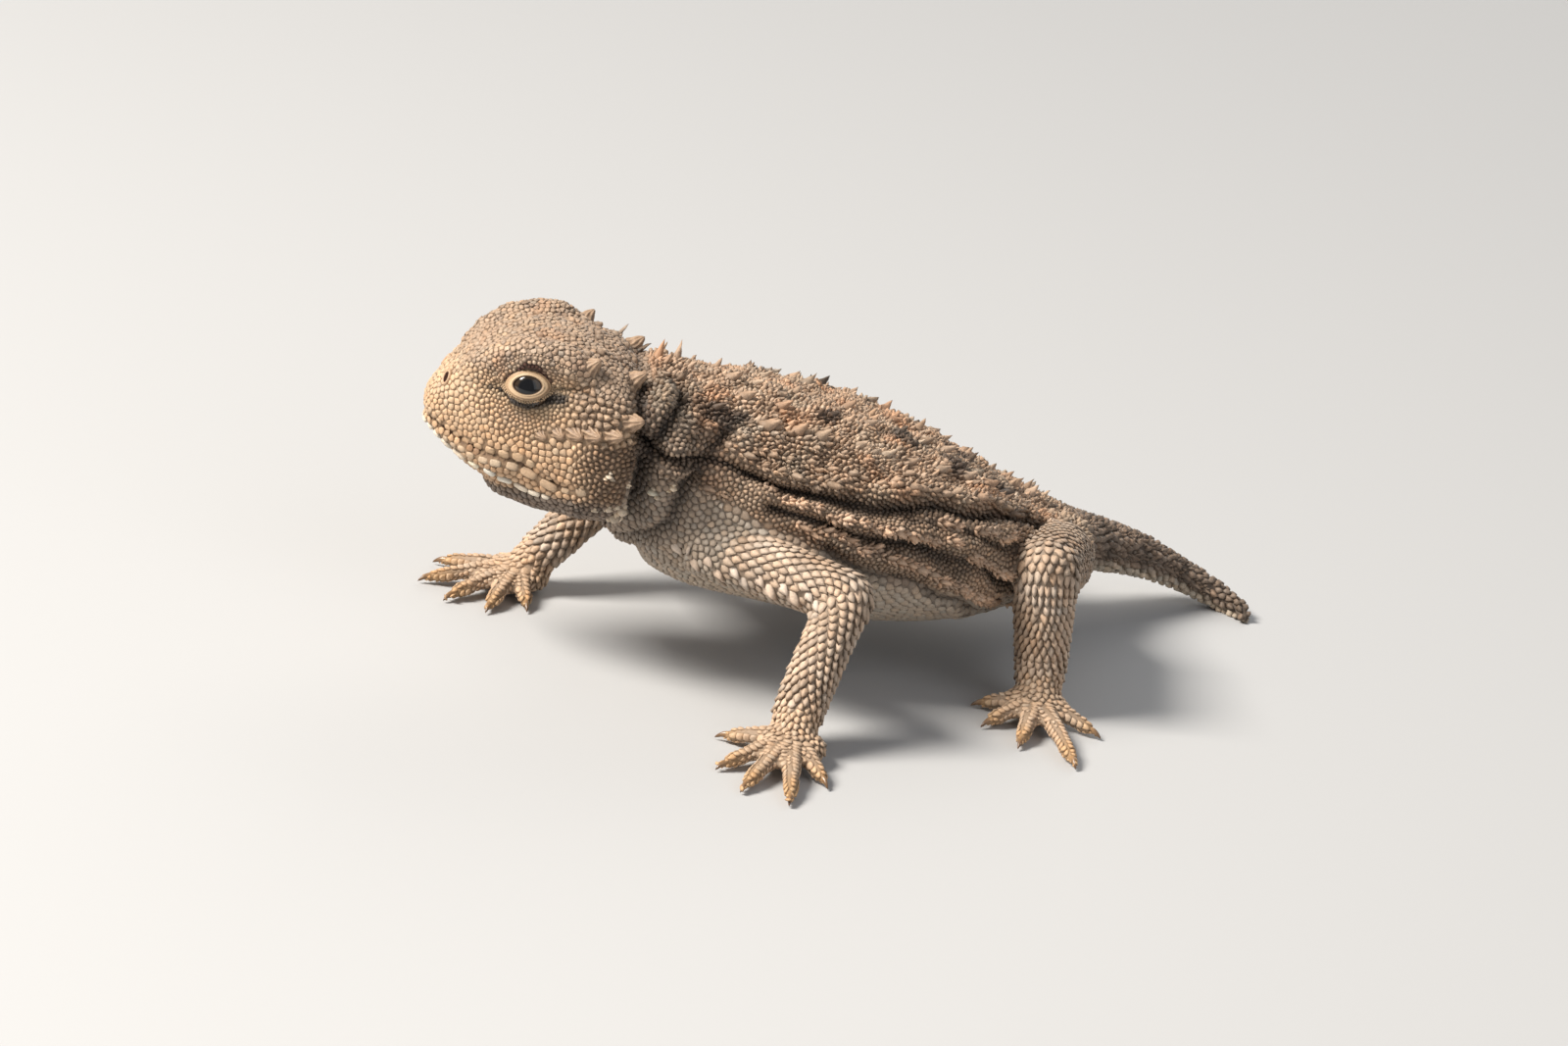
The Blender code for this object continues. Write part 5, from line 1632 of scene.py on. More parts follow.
class BodySpines:
    """The clumps of spines and knobs on neck, back, flanks and tail."""

    # Rows on each side: points as place and angle, then spacing, height, width, stretch,
    # lean and form.
    ROWS = (
        (((-5.7, 84), (-2.4, 84)), 1.35, 1.2, 0.66, 1.0, 0.35, Shape.THORN),
        (((-5.7, 62), (-2.6, 62)), 1.35, 1.25, 0.66, 1.0, 0.35, Shape.THORN),
        (((-5.6, 42), (-2.8, 40)), 1.35, 1.15, 0.66, 1.0, 0.4, Shape.THORN),
        (((-1.6, 82), (4, 78), (14, 74), (29, 68)), 2.2, 0.9, 0.8, 1.1, 0.8, Shape.THORN),
        (((-1.4, 60), (6, 58), (16, 54), (28, 48)), 2.2, 0.9, 0.85, 1.1, 0.8, Shape.THORN),
        (((-1.4, 42), (6, 40), (14, 36), (26.5, 28)), 2.1, 0.9, 0.9, 1.15, 0.8, Shape.THORN),
        (((-1.5, 26), (4, 25), (9.5, 25), (16, 27), (20, 24)), 1.0, 0.6, 0.62, 1.2, 0.9, Shape.KNOB),
        (((-2.4, 16), (0.5, 17.5), (4, 18)), 1.0, 0.55, 0.6, 1.3, 0.8, Shape.KNOB),
        (((-0.6, 4), (2.5, 6.5), (5.0, 7.5), (8.8, 8), (12.8, 9)), 0.9, 0.5, 0.56, 1.4, 0.8, Shape.KNOB),
        (((11.0, 16), (15.4, 15), (19.0, 14)), 0.95, 0.46, 0.56, 1.4, 0.8, Shape.KNOB),
        (((13.5, 5), (16.5, 2.5), (20.0, 0)), 0.95, 0.42, 0.54, 1.4, 0.8, Shape.KNOB),
        (((1.2, -4), (4.6, -2), (9.2, -3), (12.7, -6.5), (14.6, -9), (18.5, -16), (22, -22)),
         0.8, 0.55, 0.52, 1.6, 1.3, Shape.KNOB),
        (((-4.6, -10), (-2.6, -10)), 0.62, 0.6, 0.5, 1.3, 1.0, Shape.THORN),
        (((31.0, -4), (38, 0), (45, 0)), 0.9, 0.7, 0.5, 1.0, 1.1, Shape.THORN),
        (((31.0, 52), (38, 52), (44, 55)), 1.2, 0.65, 0.5, 1.0, 1.1, Shape.THORN),
    )
    # How many random places of the skin may get a clump of their own.
    TRIES = 30000
    RING = 7
    PINK = (0.56, 0.38, 0.26)

    def __init__(self, coat: Coat) -> None:
        """Takes the coat that the spines are added to."""
        self.coat = coat
        self.skin = coat.skin
        self.clumps: list[Clump] = []

    def row(self, path: Sequence, spacing: float, side: int) -> list[tuple]:
        """Returns places and ways back along a row on one side of the trunk."""
        line = smooth_curve(path, 12)
        flat = line * (1, Creases.DEGREE)
        run = run_of(flat)
        count = max(2, round(run[-1] / spacing))
        found = []
        for index in range(count):
            reach = (index + 0.5 + self.coat.draw.uniform(-0.22, 0.22)) / count * run[-1]
            place = float(np.interp(reach, run, line[:, 0])) + self.coat.draw.uniform(-0.15, 0.15)
            angle = math.radians(float(np.interp(reach, run, line[:, 1])) + self.coat.draw.uniform(-1.2, 1.2))
            near = int(np.abs(ANATOMY.curve[:, 1] - place).argmin())
            centre = ANATOMY.curve[near, :3].copy()
            centre[1] = place
            spot = self.skin.hit(centre, (side * math.cos(angle), 0.0, math.sin(angle)), 20.0)
            if spot is not None and ANATOMY.read(spot[0][None]).limb[0] < 0:
                found.append((spot[0], ANATOMY.tangents[near]))
        return found

    def plan(self) -> None:
        """Chooses where all clumps stand, and raises the skin under them."""
        draw = self.coat.draw
        for side in (1, -1):
            for path, spacing, height, width, stretch, lean, shape in self.ROWS:
                low = path[0][0] > -1 and path[0][1] < 20 and path[0][0] < 25
                for place, back in self.row(path, spacing, side):
                    grow = draw.uniform(0.75, 1.2)
                    paint = tuple(np.array(self.PINK) * draw.uniform(0.75, 1.15)) if low else None
                    self.clumps.append(
                        Clump(place, back, height * grow, width * grow, stretch, lean, shape, paint)
                    )
        faces = draw.permutation(len(self.skin.faces))[: self.TRIES]
        places = self.skin.points[self.skin.faces[faces, 0]]
        reading = ANATOMY.read(places)
        bare = reading.on(Region.TRUNK) & (reading.angle > 21) & (reading.place > -6.6)
        bare &= (reading.place < 31) & (Creases.shade(reading) < 0.3)
        taken = np.array([clump.place for clump in self.clumps])
        for place, back in zip(places[bare], reading.lie[bare]):
            width = draw.uniform(0.45, 0.75)
            if ((taken - place) ** 2).sum(axis=1).min() > (width * 0.45 + 0.72) ** 2:
                taken = np.vstack([taken, place])
                height = width * draw.uniform(0.5, 0.95)
                shape = Shape.THORN if draw.random() < 0.5 else Shape.KNOB
                self.clumps.append(Clump(place, back, height, width, 1.1, 0.7, shape))
        LOG.info("%d clumps of spines and knobs", len(self.clumps))
        mounds = [clump for clump in self.clumps if clump.place[1] < 31]
        self.skin.raise_at(
            np.array([clump.place for clump in mounds]),
            np.array([0.26 * clump.width for clump in mounds]),
            np.array([0.62 * clump.width for clump in mounds]),
        )

    def build(self) -> None:
        """Sets every clump: its spine or knob and a ring of small scales that climb its foot."""
        draw = self.coat.draw
        for clump in self.clumps:
            place, normal = self.skin.nearest(clump.place)
            across = unit(np.cross(normal, clump.back))
            along = np.cross(across, normal)
            way = unit(normal + along * clump.lean * draw.uniform(0.6, 1.2) + draw.normal(size=3) * 0.1)
            thick = clump.width * (0.8 if clump.shape is Shape.KNOB else 1.0)
            sizes = (thick * clump.stretch, thick, clump.height)
            root = place - normal * 0.1
            self.coat.add(root, way, along, sizes, 0, clump.shape, clump.paint, 0.1, 0.03, 0.33)
            for step in range(self.RING):
                turn = (step + draw.uniform(-0.2, 0.2)) * 2 * math.pi / self.RING
                out = along * math.cos(turn) * clump.stretch + across * math.sin(turn)
                spot, foot = self.skin.nearest(place + out * clump.width * draw.uniform(0.5, 0.62))
                size = max(0.3, clump.width * draw.uniform(0.42, 0.6))
                if clump.shape is Shape.THORN:
                    lean = foot + unit(out) * 0.25 + along * 0.45
                    sizes = (size * 1.1, size, size * draw.uniform(0.7, 1.1))
                    self.coat.add(spot, lean, along, sizes, 0, Shape.THORN, clump.paint, 0.14, 0.02, 0.36)
                else:
                    sizes = (size * 1.4, size, size * draw.uniform(0.4, 0.7))
                    lie = along + unit(out) * 0.7
                    self.coat.add(spot, foot, lie, sizes, 26, Shape.POINTED, clump.paint, 0.14, 0.02, 0.36)


class LimbScales:
    """The overlapping keeled scales that run down the legs and along the digits in rows."""

    # The rows of legs and of digits: the distance between rings, and between scales in a ring.
    LEG_ROWS = (0.5, 0.62)
    DIGIT_ROWS = (0.42, 0.69)
    # The big scales of the upper arm's edge: how far along, how far below the front, and size.
    EDGE = (
        (-0.12, 0.35, 0.8), (-0.02, 0.0, 0.6), (0.04, 0.4, 0.9), (0.12, 0.1, 0.75), (0.2, 0.45, 0.85),
        (0.3, 0.15, 0.8), (0.37, 0.42, 0.9), (0.47, 0.12, 0.85), (0.54, 0.38, 1.0), (0.63, 0.1, 0.8),
        (0.7, 0.32, 1.0), (0.8, 0.05, 0.8), (0.86, 0.26, 0.85),
    )
    EDGE_SIZE = (1.15, 0.9, 0.17)
    EDGE_COLOUR = (0.66, 0.52, 0.41)

    def __init__(self, coat: Coat) -> None:
        """Takes the coat that the scales are added to."""
        self.coat = coat
        self.skin = coat.skin

    def rings(self, rows: Sequence, step: float, width: float, first: float, last: float,
              shift: float = 0.5) -> tuple[Array, Array]:
        """Places rings of scales round a bent path.

        Args:
            rows: The path's points with the radius at each.
            step: The distance between rings.
            width: The distance between scales in a ring.
            first: How far along the path the first ring lies.
            last: How far before the path's end the last one lies.
            shift: How far each second ring is turned, as a share of a scale.

        Returns:
            The places and the skin's normals there.
        """
        path = smooth_curve(rows, 8)
        tangents = unit(np.gradient(path[:, :3], axis=0))
        run = run_of(path[:, :3])
        places, normals = [], []
        for row in range(int((run[-1] - first - last) / step) + 1):
            reach = first + row * step
            centre = np.array([np.interp(reach, run, path[:, k]) for k in range(4)])
            way = unit([np.interp(reach, run, tangents[:, k]) for k in range(3)])
            side = unit(np.cross(way, (0.15, 0.25, 1)))
            over = np.cross(side, way)
            count = max(4, round(2 * math.pi * centre[3] / width))
            for number in range(count):
                turn = (number + shift * (row % 2)) / count * 2 * math.pi
                found = self.skin.hit(centre[:3], over * math.cos(turn) + side * math.sin(turn), 5.0)
                if found is None or np.linalg.norm(found[0] - centre[:3]) > centre[3] * 1.5:
                    continue
                crowd = places and ((np.array(places) - found[0]) ** 2).sum(axis=1).min() < (step * 0.72) ** 2
                if not crowd:
                    places.append(found[0])
                    normals.append(found[1])
        return np.array(places), np.array(normals)

    def edge(self, root: Array, bend: Array, side: int) -> None:
        """Sets two rows of big pale pointed scales along the leading edge of an upper arm."""
        along = unit(bend - root)
        for share, drop, size in self.EDGE:
            way = unit(np.array([0.2 * side, -1.0, -drop]))
            found = self.skin.hit(root + (bend - root) * share, way - along * (way @ along), 6.0)
            if found is not None and ANATOMY.read(found[0][None]).local[0, 0] < -13.2:
                lie = along + np.array([0, 0, -0.5])
                sizes = np.array(self.EDGE_SIZE) * size * self.coat.draw.uniform(0.88, 1.1)
                self.coat.add(*found, lie, sizes, 17, Shape.POINTED, self.EDGE_COLOUR, 0.08, 0.014, 0.3)

    def build(self) -> None:
        """Covers every leg and digit."""
        for number, leg in enumerate(PLAN.limbs):
            root, bend, _, palm = leg.joints
            rows = [(*joint, radius) for joint, radius in zip(leg.joints, leg.radii)]
            places, normals = self.rings(rows, *self.LEG_ROWS, 1.2, 1.0)
            reading = ANATOMY.read(places)
            kinds = self.coat.kinds_at(places, reading, normals)
            kept = np.isin(kinds, [number_of(Kinds.ARM), number_of(Kinds.FOREARM)])
            kept &= (reading.limb == number) & (places[:, 2] > 0.8)
            self.coat.sow(places[kept], kinds[kept])
            if root[1] < 10:
                self.edge(np.array(root), np.array(bend), leg.side)
            for tip in leg.digits:
                start, end = np.array([palm[0], palm[1], 0.95]), np.array([*tip, 0.42])
                tip_end = end - unit(end - start) * PLAN.claw_length
                path = ((*start, 0.62), (*(start + tip_end) / 2, 0.6), (*tip_end, 0.5))
                places, normals = self.rings(path, *self.DIGIT_ROWS, 1.4, -0.1, 0.0)
                if len(places):
                    places = places[normals[:, 2] > -0.35]
                self.coat.sow(places, np.full(len(places), number_of(Kinds.SCUTE)))


@dataclass
class EyeSet:
    """The eyeballs and the pale rims of the lids."""

    # The opening, in degrees as seen from the eye's centre, then the rim's band round it.
    half_length: float = 46.0
    half_opening: float = 28.5
    raised: float = 4.5
    rim_middle: float = 0.87
    rim_spread: float = 0.24
    rim_height: float = 0.13
    BALL = (0.03, 0.018, 0.012)
    IRIS = (0.03, 0.016, 0.008)
    PUPIL = (0.004, 0.004, 0.005)
    RING = (0.10, 0.06, 0.025)

    @classmethod
    def ways(cls, side: int, turns: Array, measure: Array | float) -> tuple[Array, Array]:
        """Returns an eye's centre and the ways from it to places round its opening."""
        centre, facing, along, upward = PLAN.eye_axes(side)
        swing = np.radians(np.cos(turns) * cls.half_length * measure)
        lift = np.radians(np.sin(turns) * cls.half_opening * measure + cls.raised)
        ways = (facing * (np.cos(swing) * np.cos(lift))[:, None] + along * np.sin(swing)[:, None]
                + upward * (np.cos(swing) * np.sin(lift))[:, None])
        return centre, ways

    def balls(self) -> list[Piece]:
        """Makes the two eyeballs, each with its clear bulge over the pupil."""
        made = []
        for side, word in SIDES:
            centre, facing, along, upward = PLAN.eye_axes(side)
            mesh = Mesh(ball(centre, (PLAN.eye_radius,) * 3, np.array([along, upward, facing]), 48))
            points = mesh.read()
            ahead = (points - centre) @ facing / PLAN.eye_radius
            points = points + facing * (0.08 * ramp(ahead, 0.72, 1.0))[:, None]
            mesh.write(points)
            looks = unit(points - centre) @ facing
            colour = painted(
                self.BALL, (self.IRIS, ramp(looks, 0.78, 0.86)), (self.PUPIL, ramp(looks, 0.9, 0.93))
            )
            ring = ramp(np.abs(looks - 0.915), 0.02, 0.005)[:, None]
            made.append(mesh.complete(f"eyeball_{word}", colour + np.array(self.RING) * ring))
        return made

    def rims(self) -> list[Piece]:
        """Makes the two rims: a rounded band that follows the opening over the ball."""
        made = []
        thick = 0.25
        for side, word in SIDES:
            obj, points = torus(128, 32, thick)
            turns = np.arctan2(points[:, 1], points[:, 0])
            out = (np.hypot(points[:, 0], points[:, 1]) - 1.0) / thick
            high = points[:, 2] / thick
            rings = 0.022 * np.cos(out * 8.5) + 0.006 * np.sin(turns * 53 + out * 5)
            centre, ways = self.ways(side, turns, self.rim_middle + out * self.rim_spread)
            reach = PLAN.eye_radius + 0.08 + high * self.rim_height + rings * (high > 0)
            Mesh(obj).write(centre + ways * reach[:, None])
            # Dark radial lines on the outer band: painted shade of small folds.
            folds = ramp(np.sin(turns * 26 + out * 3), 0.2, 1.0) * ramp(out, -0.2, 0.4)
            colour = painted(
                (0.47, 0.32, 0.19),
                ((0.58, 0.42, 0.26), ramp(out, 0.1, -0.5) * ramp(out, -0.95, -0.7)),
                ((0.26, 0.14, 0.07), ramp(np.abs(out - 0.34), 0.2, 0.05) * 0.75),
                ((0.27, 0.17, 0.09), folds * 0.5),
                # Painted shade on the rim's lower side.
                ((0.30, 0.20, 0.12), ramp(np.sin(turns + 0.6), -0.2, -0.9) * 0.5),
                ((0.05, 0.03, 0.02), ramp(out, -0.8, -0.98) * 0.9),
                ((0.12, 0.06, 0.035), ramp(out, 0.78, 1.0) * 0.9),
            )
            made.append(Mesh(obj).complete(f"lid_rim_{word}", colour))
        return made


@dataclass
class NostrilSet:
    """The nostrils: on each side of the snout a near-black slanting flat disc, painted shade in place of the
    opening, with a raised edge round it.
    """

    place: tuple = (-1.65, 0.95, 1.75)
    facing: tuple = (0.45, 0.75, 0.45)
    sizes: tuple = (0.42, 0.25)

    def build(self, skin: Skin) -> list[tuple[Piece, bool]]:
        """Makes the dark discs, painted shade of the openings, and their raised edges on the skin, each told
        apart by whether it is a disc.
        """
        made = []
        for side, word in SIDES:
            way = PLAN.head.direction(self.facing, side)
            place, normal = skin.hit(PLAN.head.point(self.place, side), way, 4.0)
            long = unit(np.cross(np.cross(normal, PLAN.head.direction((0.35, 0, 1))), normal))
            axes = np.array([long, np.cross(normal, long), normal])
            # A near-black flat disc just above the skin: painted shade in place of the nostril's opening.
            hollow = ball(place + normal * 0.1, (*self.sizes, 0.07), axes)
            made.append((Mesh(hollow).complete(f"nostril_{word}", (0.03, 0.012, 0.008)), True))
            edge, points = torus(40, 10, 0.26)
            Mesh(edge).write(place + normal * 0.06 + (points * (*self.sizes, 0.55)) @ axes)
            made.append((Mesh(edge).complete(f"nostril_edge_{word}", (0.50, 0.33, 0.21)), False))
        return made


@dataclass
class HornSet:
    """The ten horns of the head and the low cones that lead up to them, fluted and wrinkled."""

    # Each one's name, its root and direction along the head's axes, its length and radius.
    horns: tuple = (
        ("brow", (-9.3, 4.2, 3.7), (-0.5, 0.5, 0.7), 0.62, 0.74),
        ("occipital", (-12.0, 2.9, 2.6), (-0.7, 0.25, 0.65), 0.95, 0.85),
        ("temporal_1", (-11.7, 4.8, 0.8), (-0.7, 0.65, 0.25), 0.95, 0.9),
        ("temporal_2", (-10.9, 5.2, 0.2), (-0.4, 0.85, 0.08), 0.64, 0.82),
        ("temporal_3", (-9.8, 5.2, 0.2), (-0.28, 0.92, 0.0), 0.52, 0.76),
    )
    cones: tuple = (
        ("1", (-6.85, 4.6, -0.25), (-0.15, 0.95, -0.22), 0.32, 0.62),
        ("2", (-7.85, 4.9, 0.0), (-0.18, 0.95, -0.2), 0.38, 0.68),
        ("3", (-8.85, 5.1, 0.15), (-0.2, 0.95, -0.12), 0.44, 0.72),
    )
    root_depth: float = 0.7
    sides: int = 42
    rings: int = 22

    def build(self, coat: Coat) -> list[tuple[Piece, str]]:
        """Makes the horns on the skin.

        Args:
            coat: The coat that is kept clear of them.

        Returns:
            Each horn with the name of the node that it replaces, or of none.
        """
        made = []
        for name, root, lie, length, radius in self.horns + self.cones:
            for side, word in SIDES:
                node = f"horn_{name}_{word}"
                way = PLAN.head.direction(lie, side)
                place, _ = coat.skin.hit(PLAN.head.point(root, side), way, 6.0)
                coat.keep_off(place, radius * 0.72)
                rows = []
                for step in range(self.rings + 1):
                    share = step / self.rings
                    reach = -self.root_depth + share * (length + self.root_depth)
                    rows.append((*(place + way * reach), *[radius * (1 - share) ** 0.62] * 3))
                mesh = Mesh(loft(rows, self.sides, 1))
                away = mesh.read() - place
                reach = away @ way
                out = away - reach[:, None] * way
                beside = unit(np.cross(way, (0.2, 0.3, 1.0)))
                turn = np.arctan2(out @ np.cross(way, beside), out @ beside)
                wave = np.sin(turn * 9 + side + reach)
                ridges = 1 + 0.11 * wave + 0.06 * np.sin(reach * 13 + turn * 3)
                points = place + reach[:, None] * way + out * ridges[:, None]
                share = np.clip(reach / length, 0, 1)
                mesh.write(points + PLAN.head.direction((-1, 0, 0.1)) * (0.16 * share**2)[:, None])
                # The ridges are painted lighter and the grooves between them darker towards the root: painted
                # light and shade over the fluting.
                flutes = ramp(wave, 0.0, 1.0)
                colour = painted(
                    (0.35, 0.23, 0.15),
                    ((0.48, 0.34, 0.22), flutes * 0.65),
                    ((0.12, 0.08, 0.055), (1 - flutes) * ramp(share, 0.5, 0.0) * 0.5),
                    ((0.20, 0.13, 0.09), ramp(share, 0.8, 1.0) * 0.4),
                )
                made.append((mesh.complete(f"{node}_ridged", colour), node if len(name) > 1 else ""))
        return made


@dataclass
class ClawSet:
    """The claws: curved, tapering and pointed, one at the end of each digit."""

    radius: float = 0.3
    sides: int = 14
    rings: int = 10
    HORN = (0.42, 0.25, 0.12)
    TIP = (0.13, 0.07, 0.035)

    def build(self, leg: Limb) -> Piece:
        """Makes the claws of one foot as one piece."""
        palm = np.array([leg.joints[-1][0], leg.joints[-1][1], 0.0])
        made = []
        for tip in leg.digits:
            end = np.array([*tip, 0.14]) - 0.12 * unit(np.array([*tip, 0.14]) - (*palm[:2], 0.14))
            way = unit(np.array([*tip, 0.0]) - palm)
            root = end - way * (PLAN.claw_length + 0.05) + np.array([0, 0, 0.26])
            rows = []
            for step in range(self.rings + 1):
                share = step / self.rings
                place = root + (end - root) * share + np.array([0, 0, 0.2 * math.sin(share * math.pi)])
                size = self.radius * (1 - share) ** 0.75 + 0.025
                rows.append((*place, size * 0.8, size, size * 0.85))
            made.append(loft(rows, self.sides, 1))
        claws = Mesh(join(made, f"claws_{leg.name}"))
        points = claws.read()
        reach = np.min([lengths(points[:, :2] - np.array(tip)) for tip in leg.digits], axis=0)
        return claws.complete(claws.obj.name, painted(self.HORN, (self.TIP, ramp(reach, 1.3, 0.1))))


class Wire:
    """A shader socket in a sum: the operators add the Math nodes."""

    def __init__(self, shader: Shader, socket: bpy.types.NodeSocket) -> None:
        """Wraps an output socket of a shader."""
        self.shader = shader
        self.socket = socket

    def _math(self, operation: str, a: Wire | float, b: Wire | float) -> Wire:
        """Adds one Math node."""
        return self.shader.node("ShaderNodeMath", {"operation": operation}, {0: a, 1: b})

    def __add__(self, other: Wire | float) -> Wire:
        """Adds."""
        return self._math("ADD", self, other)

    def __radd__(self, other: float) -> Wire:
        """Adds."""
        return self._math("ADD", other, self)

    def __mul__(self, other: Wire | float) -> Wire:
        """Multiplies."""
        return self._math("MULTIPLY", self, other)

    def __rmul__(self, other: float) -> Wire:
        """Multiplies."""
        return self._math("MULTIPLY", other, self)


class Shader:
    """One material and the nodes in it."""

    def __init__(self, name: str) -> None:
        """Starts a material with a Principled shader."""
        self.material = bpy.data.materials.new(name)
        self.material.use_nodes = True
        self.tree = self.material.node_tree
        self.surface = self.tree.nodes["Principled BSDF"]

    def node(self, kind: str, settings: dict, values: dict, output: int | str = 0) -> Wire:
        """Adds a node.

        Args:
            kind: The node's type.
            settings: What is set on the node itself, with a ramp's stops under stops.
            values: Numbers, colours or wires for its sockets.
            output: Which output is returned.

        Returns:
            That output, wrapped.
        """
        node = self.tree.nodes.new(kind)
        for name, value in settings.items():
            if name == "stops":
                for index, (place, colour) in enumerate(value):
                    stops = node.color_ramp.elements
                    stop = stops[index] if index < 2 else stops.new(place)
                    stop.position, stop.color = place, (*colour, 1.0)
            else:
                setattr(node, name, value)
        for name, value in values.items():
            self.put(node.inputs[name], value)
        return Wire(self, node.outputs[output])

    def put(self, socket: bpy.types.NodeSocket, value: object) -> None:
        """Links a wire to a socket, or sets a plain value on it."""
        if isinstance(value, Wire):
            self.tree.links.new(value.socket, socket)
        else:
            socket.default_value = value

    def finish(self, **values: object) -> bpy.types.Material:
        """Sets the surface's sockets, with _ for a space in their names."""
        for name, value in values.items():
            self.put(self.surface.inputs[name.replace("_", " ")], value)
        return self.material

    def place(self) -> Wire:
        """Returns the place on the object."""
        return self.node("ShaderNodeTexCoord", {}, {}, "Object")

    def noise(self, scale: float, detail: float = 3.0, roughness: float = 0.55) -> Wire:
        """Returns noise with that many spots to a metre."""
        values = {"Vector": self.place(), "Scale": scale, "Detail": detail, "Roughness": roughness}
        return self.node("ShaderNodeTexNoise", {}, values, "Fac")

    def bump(self, height: Wire, strength: float, distance: float) -> Wire:
        """Returns normals roughened by a height in metres times distance."""
        values = {"Height": height, "Strength": strength, "Distance": distance}
        return self.node("ShaderNodeBump", {}, values, "Normal")

    def markings(self) -> Wire:
        """Returns the colour stored on the mesh."""
        return self.node("ShaderNodeAttribute", {"attribute_name": "markings"}, {}, "Color")

    def tinted(self, colour: Wire, share: Wire, low: Row, high: Row) -> Wire:
        """Returns a colour multiplied by one that runs from low to high with the share."""
        stops = {"stops": ((0.3, low), (0.7, high))}
        tint = self.node("ShaderNodeValToRGB", stops, {"Fac": share}, "Color")
        settings = {"data_type": "RGBA", "blend_type": "MULTIPLY"}
        return self.node("ShaderNodeMix", settings, {0: 1.0, 6: colour, 7: tint}, 2)


@dataclass(frozen=True)
class KeratinFinish:
    """Scales, skin, horns and claws: the stored colours, painted shade included, with fine grain and an
    uneven soft gloss.
    """

    name: str
    grain: float = 9000.0
    dark: tuple = (0.82, 0.80, 0.78)
    light: tuple = (1.12, 1.12, 1.12)
    gloss: float = 0.52
    unevenness: float = 0.22
    relief: float = 0.5
    specular: float = 0.45
    coat: float = 0.0

    def make(self) -> bpy.types.Material:
        """Makes the material."""
        shader = Shader(self.name)
        grain = shader.noise(self.grain, 4.0, 0.6)
        patches = shader.noise(self.grain / 6, 2.0)
        colour = shader.tinted(shader.markings(), grain, self.dark, self.light)
        rough = self.gloss - self.unevenness / 2 + patches * self.unevenness + grain * 0.1
        normal = shader.bump(grain, self.relief, 0.00006)
        return shader.finish(
            Base_Color=colour, Roughness=rough, Normal=normal,
            Specular_IOR_Level=self.specular, Coat_Weight=self.coat, Coat_Roughness=0.25,
        )


def wet_eye() -> bpy.types.Material:
    """Makes the eyeball's material: dark and wet."""
    shader = Shader("wet_eye")
    colour = shader.tinted(shader.markings(), shader.noise(4000.0), (0.7, 0.7, 0.7), (1.2, 1.2, 1.2))
    return shader.finish(
        Base_Color=colour, Roughness=0.12, Specular_IOR_Level=0.4, Coat_Weight=0.35, Coat_Roughness=0.03
    )


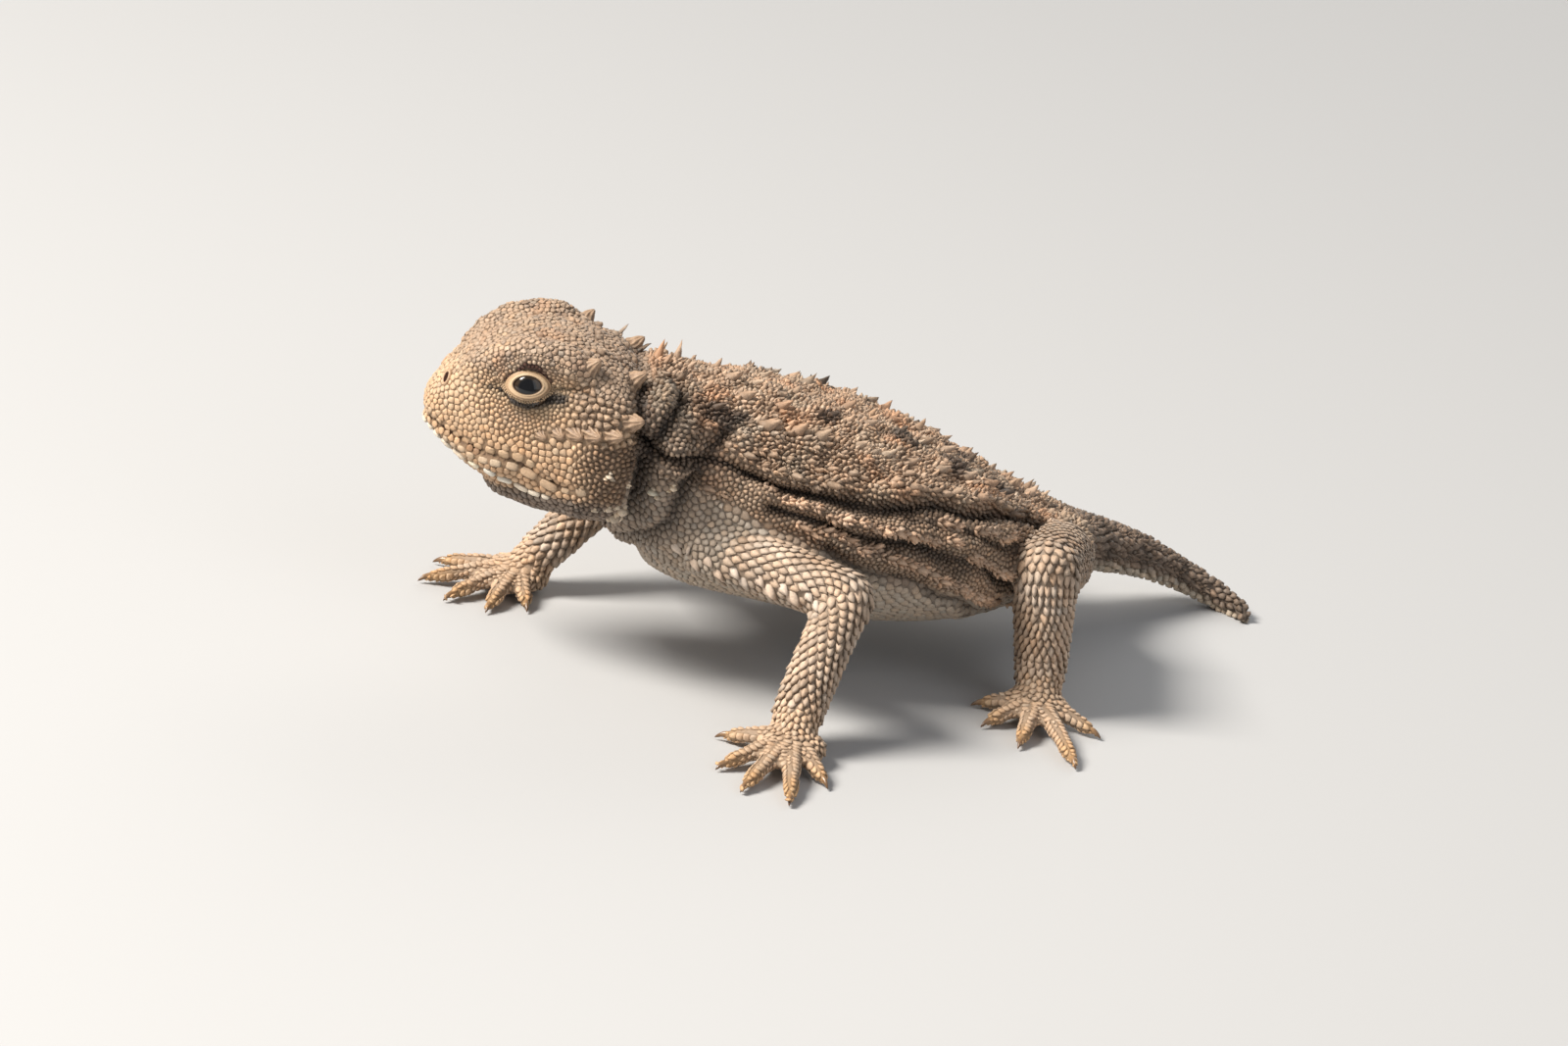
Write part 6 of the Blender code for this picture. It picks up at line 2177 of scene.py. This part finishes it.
@dataclass(frozen=True)
class Studio:
    """The plain pale floor, the soft light and the camera at the photograph's viewing angle."""

    azimuth: float = 50.0
    elevation: float = 19.0
    roll: float = 12.4
    target: tuple = (0.9, 5.8, 8.9)
    distance: float = 360.0
    lens: float = 133.65
    sensor: float = 36.0
    floor_size: float = 3000.0
    floor_colour: tuple = (0.50, 0.50, 0.50)
    sky: tuple = (0.92, 0.95, 1.0)
    sky_strength: float = 0.26
    # The way each light stands in, its distance and size in metres, its power in watts and its colour.
    lights: tuple = (
        ("key", (-0.62, 0.82, 0.6), 0.6, 0.2, 6.9, (1.0, 0.95, 0.88)),
        ("fill", (0.9, 0.25, 0.9), 0.7, 0.6, 0.9, (0.93, 0.96, 1.0)),
        ("rim", (0.5, 0.8, -0.9), 0.7, 0.4, 1.2, (1.0, 0.97, 0.92)),
    )

    def axes(self) -> Array:
        """Returns the camera's right, up and backward directions as rows."""
        a, e, r = (math.radians(v) for v in (self.azimuth, self.elevation, self.roll))
        back = np.array([math.sin(a) * math.cos(e), -math.cos(a) * math.cos(e), math.sin(e)])
        level = np.array([math.cos(a), math.sin(a), 0.0])
        upright = np.cross(back, level)
        right = level * math.cos(r) + upright * math.sin(r)
        return np.array([right, -level * math.sin(r) + upright * math.cos(r), back])

    def camera(self) -> None:
        """Adds the camera."""
        data = bpy.data.cameras.new("camera")
        data.lens = self.lens
        data.sensor_width = self.sensor
        data.clip_end = 10.0
        data.clip_start = 0.01
        obj = bpy.data.objects.new("camera", data)
        place = Matrix(self.axes().T.tolist()).to_4x4()
        place.translation = Vector(PLAN.to_scene(np.array(self.target) + self.distance * self.axes()[2]))
        obj.matrix_world = place
        bpy.context.scene.collection.objects.link(obj)
        bpy.context.scene.camera = obj

    def floor(self) -> None:
        """Adds the floor."""
        select()
        bpy.ops.mesh.primitive_plane_add(size=self.floor_size * MM, location=(0, 0, 0))
        obj = bpy.context.object
        obj.name = "floor"
        shader = Shader("floor")
        obj.data.materials.append(shader.finish(Base_Color=(*self.floor_colour, 1.0), Roughness=0.8))

    def light(self, name: str, way: Row, distance: float, size: float, power: float,
              colour: Row) -> None:
        """Adds one soft square light that shines on the model.

        Args:
            name: The light's name.
            way: The direction it stands in, along the camera's right, up and backward.
            distance: How far off it stands, in metres.
            size: The length of its sides, in metres.
            power: Its power in watts.
            colour: Its colour.
        """
        data = bpy.data.lights.new(name, "AREA")
        data.size = size
        data.energy = power
        data.color = colour
        obj = bpy.data.objects.new(name, data)
        toward = Vector(unit(np.asarray(way, float) @ self.axes()))
        middle = Vector(PLAN.to_scene(self.target))
        obj.location = middle + toward * distance
        obj.rotation_euler = toward.to_track_quat("Z", "Y").to_euler()
        bpy.context.scene.collection.objects.link(obj)

    def build(self) -> None:
        """Adds camera, floor, lights and the pale surroundings."""
        self.camera()
        self.floor()
        bpy.context.scene.view_settings.view_transform = "Standard"
        for row in self.lights:
            self.light(*row)
        world = bpy.data.worlds.new("surroundings")
        world.use_nodes = True
        background = world.node_tree.nodes["Background"].inputs
        background["Color"].default_value = (*self.sky, 1.0)
        background["Strength"].default_value = self.sky_strength
        bpy.context.scene.world = world


def dress(obj: Piece, material: bpy.types.Material) -> None:
    """Gives a piece its finish and lets it ride on the one body."""
    obj.data.materials.clear()
    obj.data.materials.append(material)
    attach(obj, "root")
    LOG.info("%s: done", obj.name)


def main() -> None:
    """Builds the lizard's pieces in order and sets the studio round them."""
    logging.basicConfig(level=logging.INFO, format="%(message)s")
    Studio().build()
    finishes = {
        "skin": KeratinFinish("skin", gloss=0.6).make(),
        "scales": KeratinFinish("scales").make(),
        "paws": KeratinFinish("paw_scales", gloss=0.42, specular=0.5).make(),
        "horn": KeratinFinish("horn", grain=6000.0, gloss=0.45, relief=0.8).make(),
        "claw": KeratinFinish("claw", grain=5000.0, gloss=0.25, relief=0.2, coat=0.4).make(),
        "rim": KeratinFinish("lid_rim", grain=12000.0, gloss=0.4, relief=0.35).make(),
        # The near-black nostril discs, painted shade of the openings, take this finish.
        "hollow": KeratinFinish("hollow", gloss=0.9, relief=0.1, specular=0.1).make(),
        "eye": wet_eye(),
    }
    skin = Skin()
    coat = Coat(skin)
    spines = BodySpines(coat)
    spines.plan()
    LOG.info("skin: %d triangles", len(skin.faces))
    dress(skin.obj, finishes["skin"])
    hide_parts(*Skin.FLESH)

    eyes = EyeSet()
    for obj, (_, word) in zip(eyes.balls(), SIDES):
        dress(obj, finishes["eye"])
        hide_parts(f"eye_{word}")
    for obj in eyes.rims():
        dress(obj, finishes["rim"])
    for obj, hollow in NostrilSet().build(skin):
        dress(obj, finishes["hollow" if hollow else "rim"])
    for obj, node in HornSet().build(coat):
        dress(obj, finishes["horn"])
        if node:
            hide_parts(node)
    for leg in PLAN.limbs:
        dress(ClawSet().build(leg), finishes["claw"])

    face = HeadScales(coat)
    face.lips()
    face.temples()
    face.lids()
    spines.build()
    LimbScales(coat).build()
    coat.fill()
    for obj in coat.build():
        dress(obj, finishes["scales"])


if __name__ == "__main__":
    main()
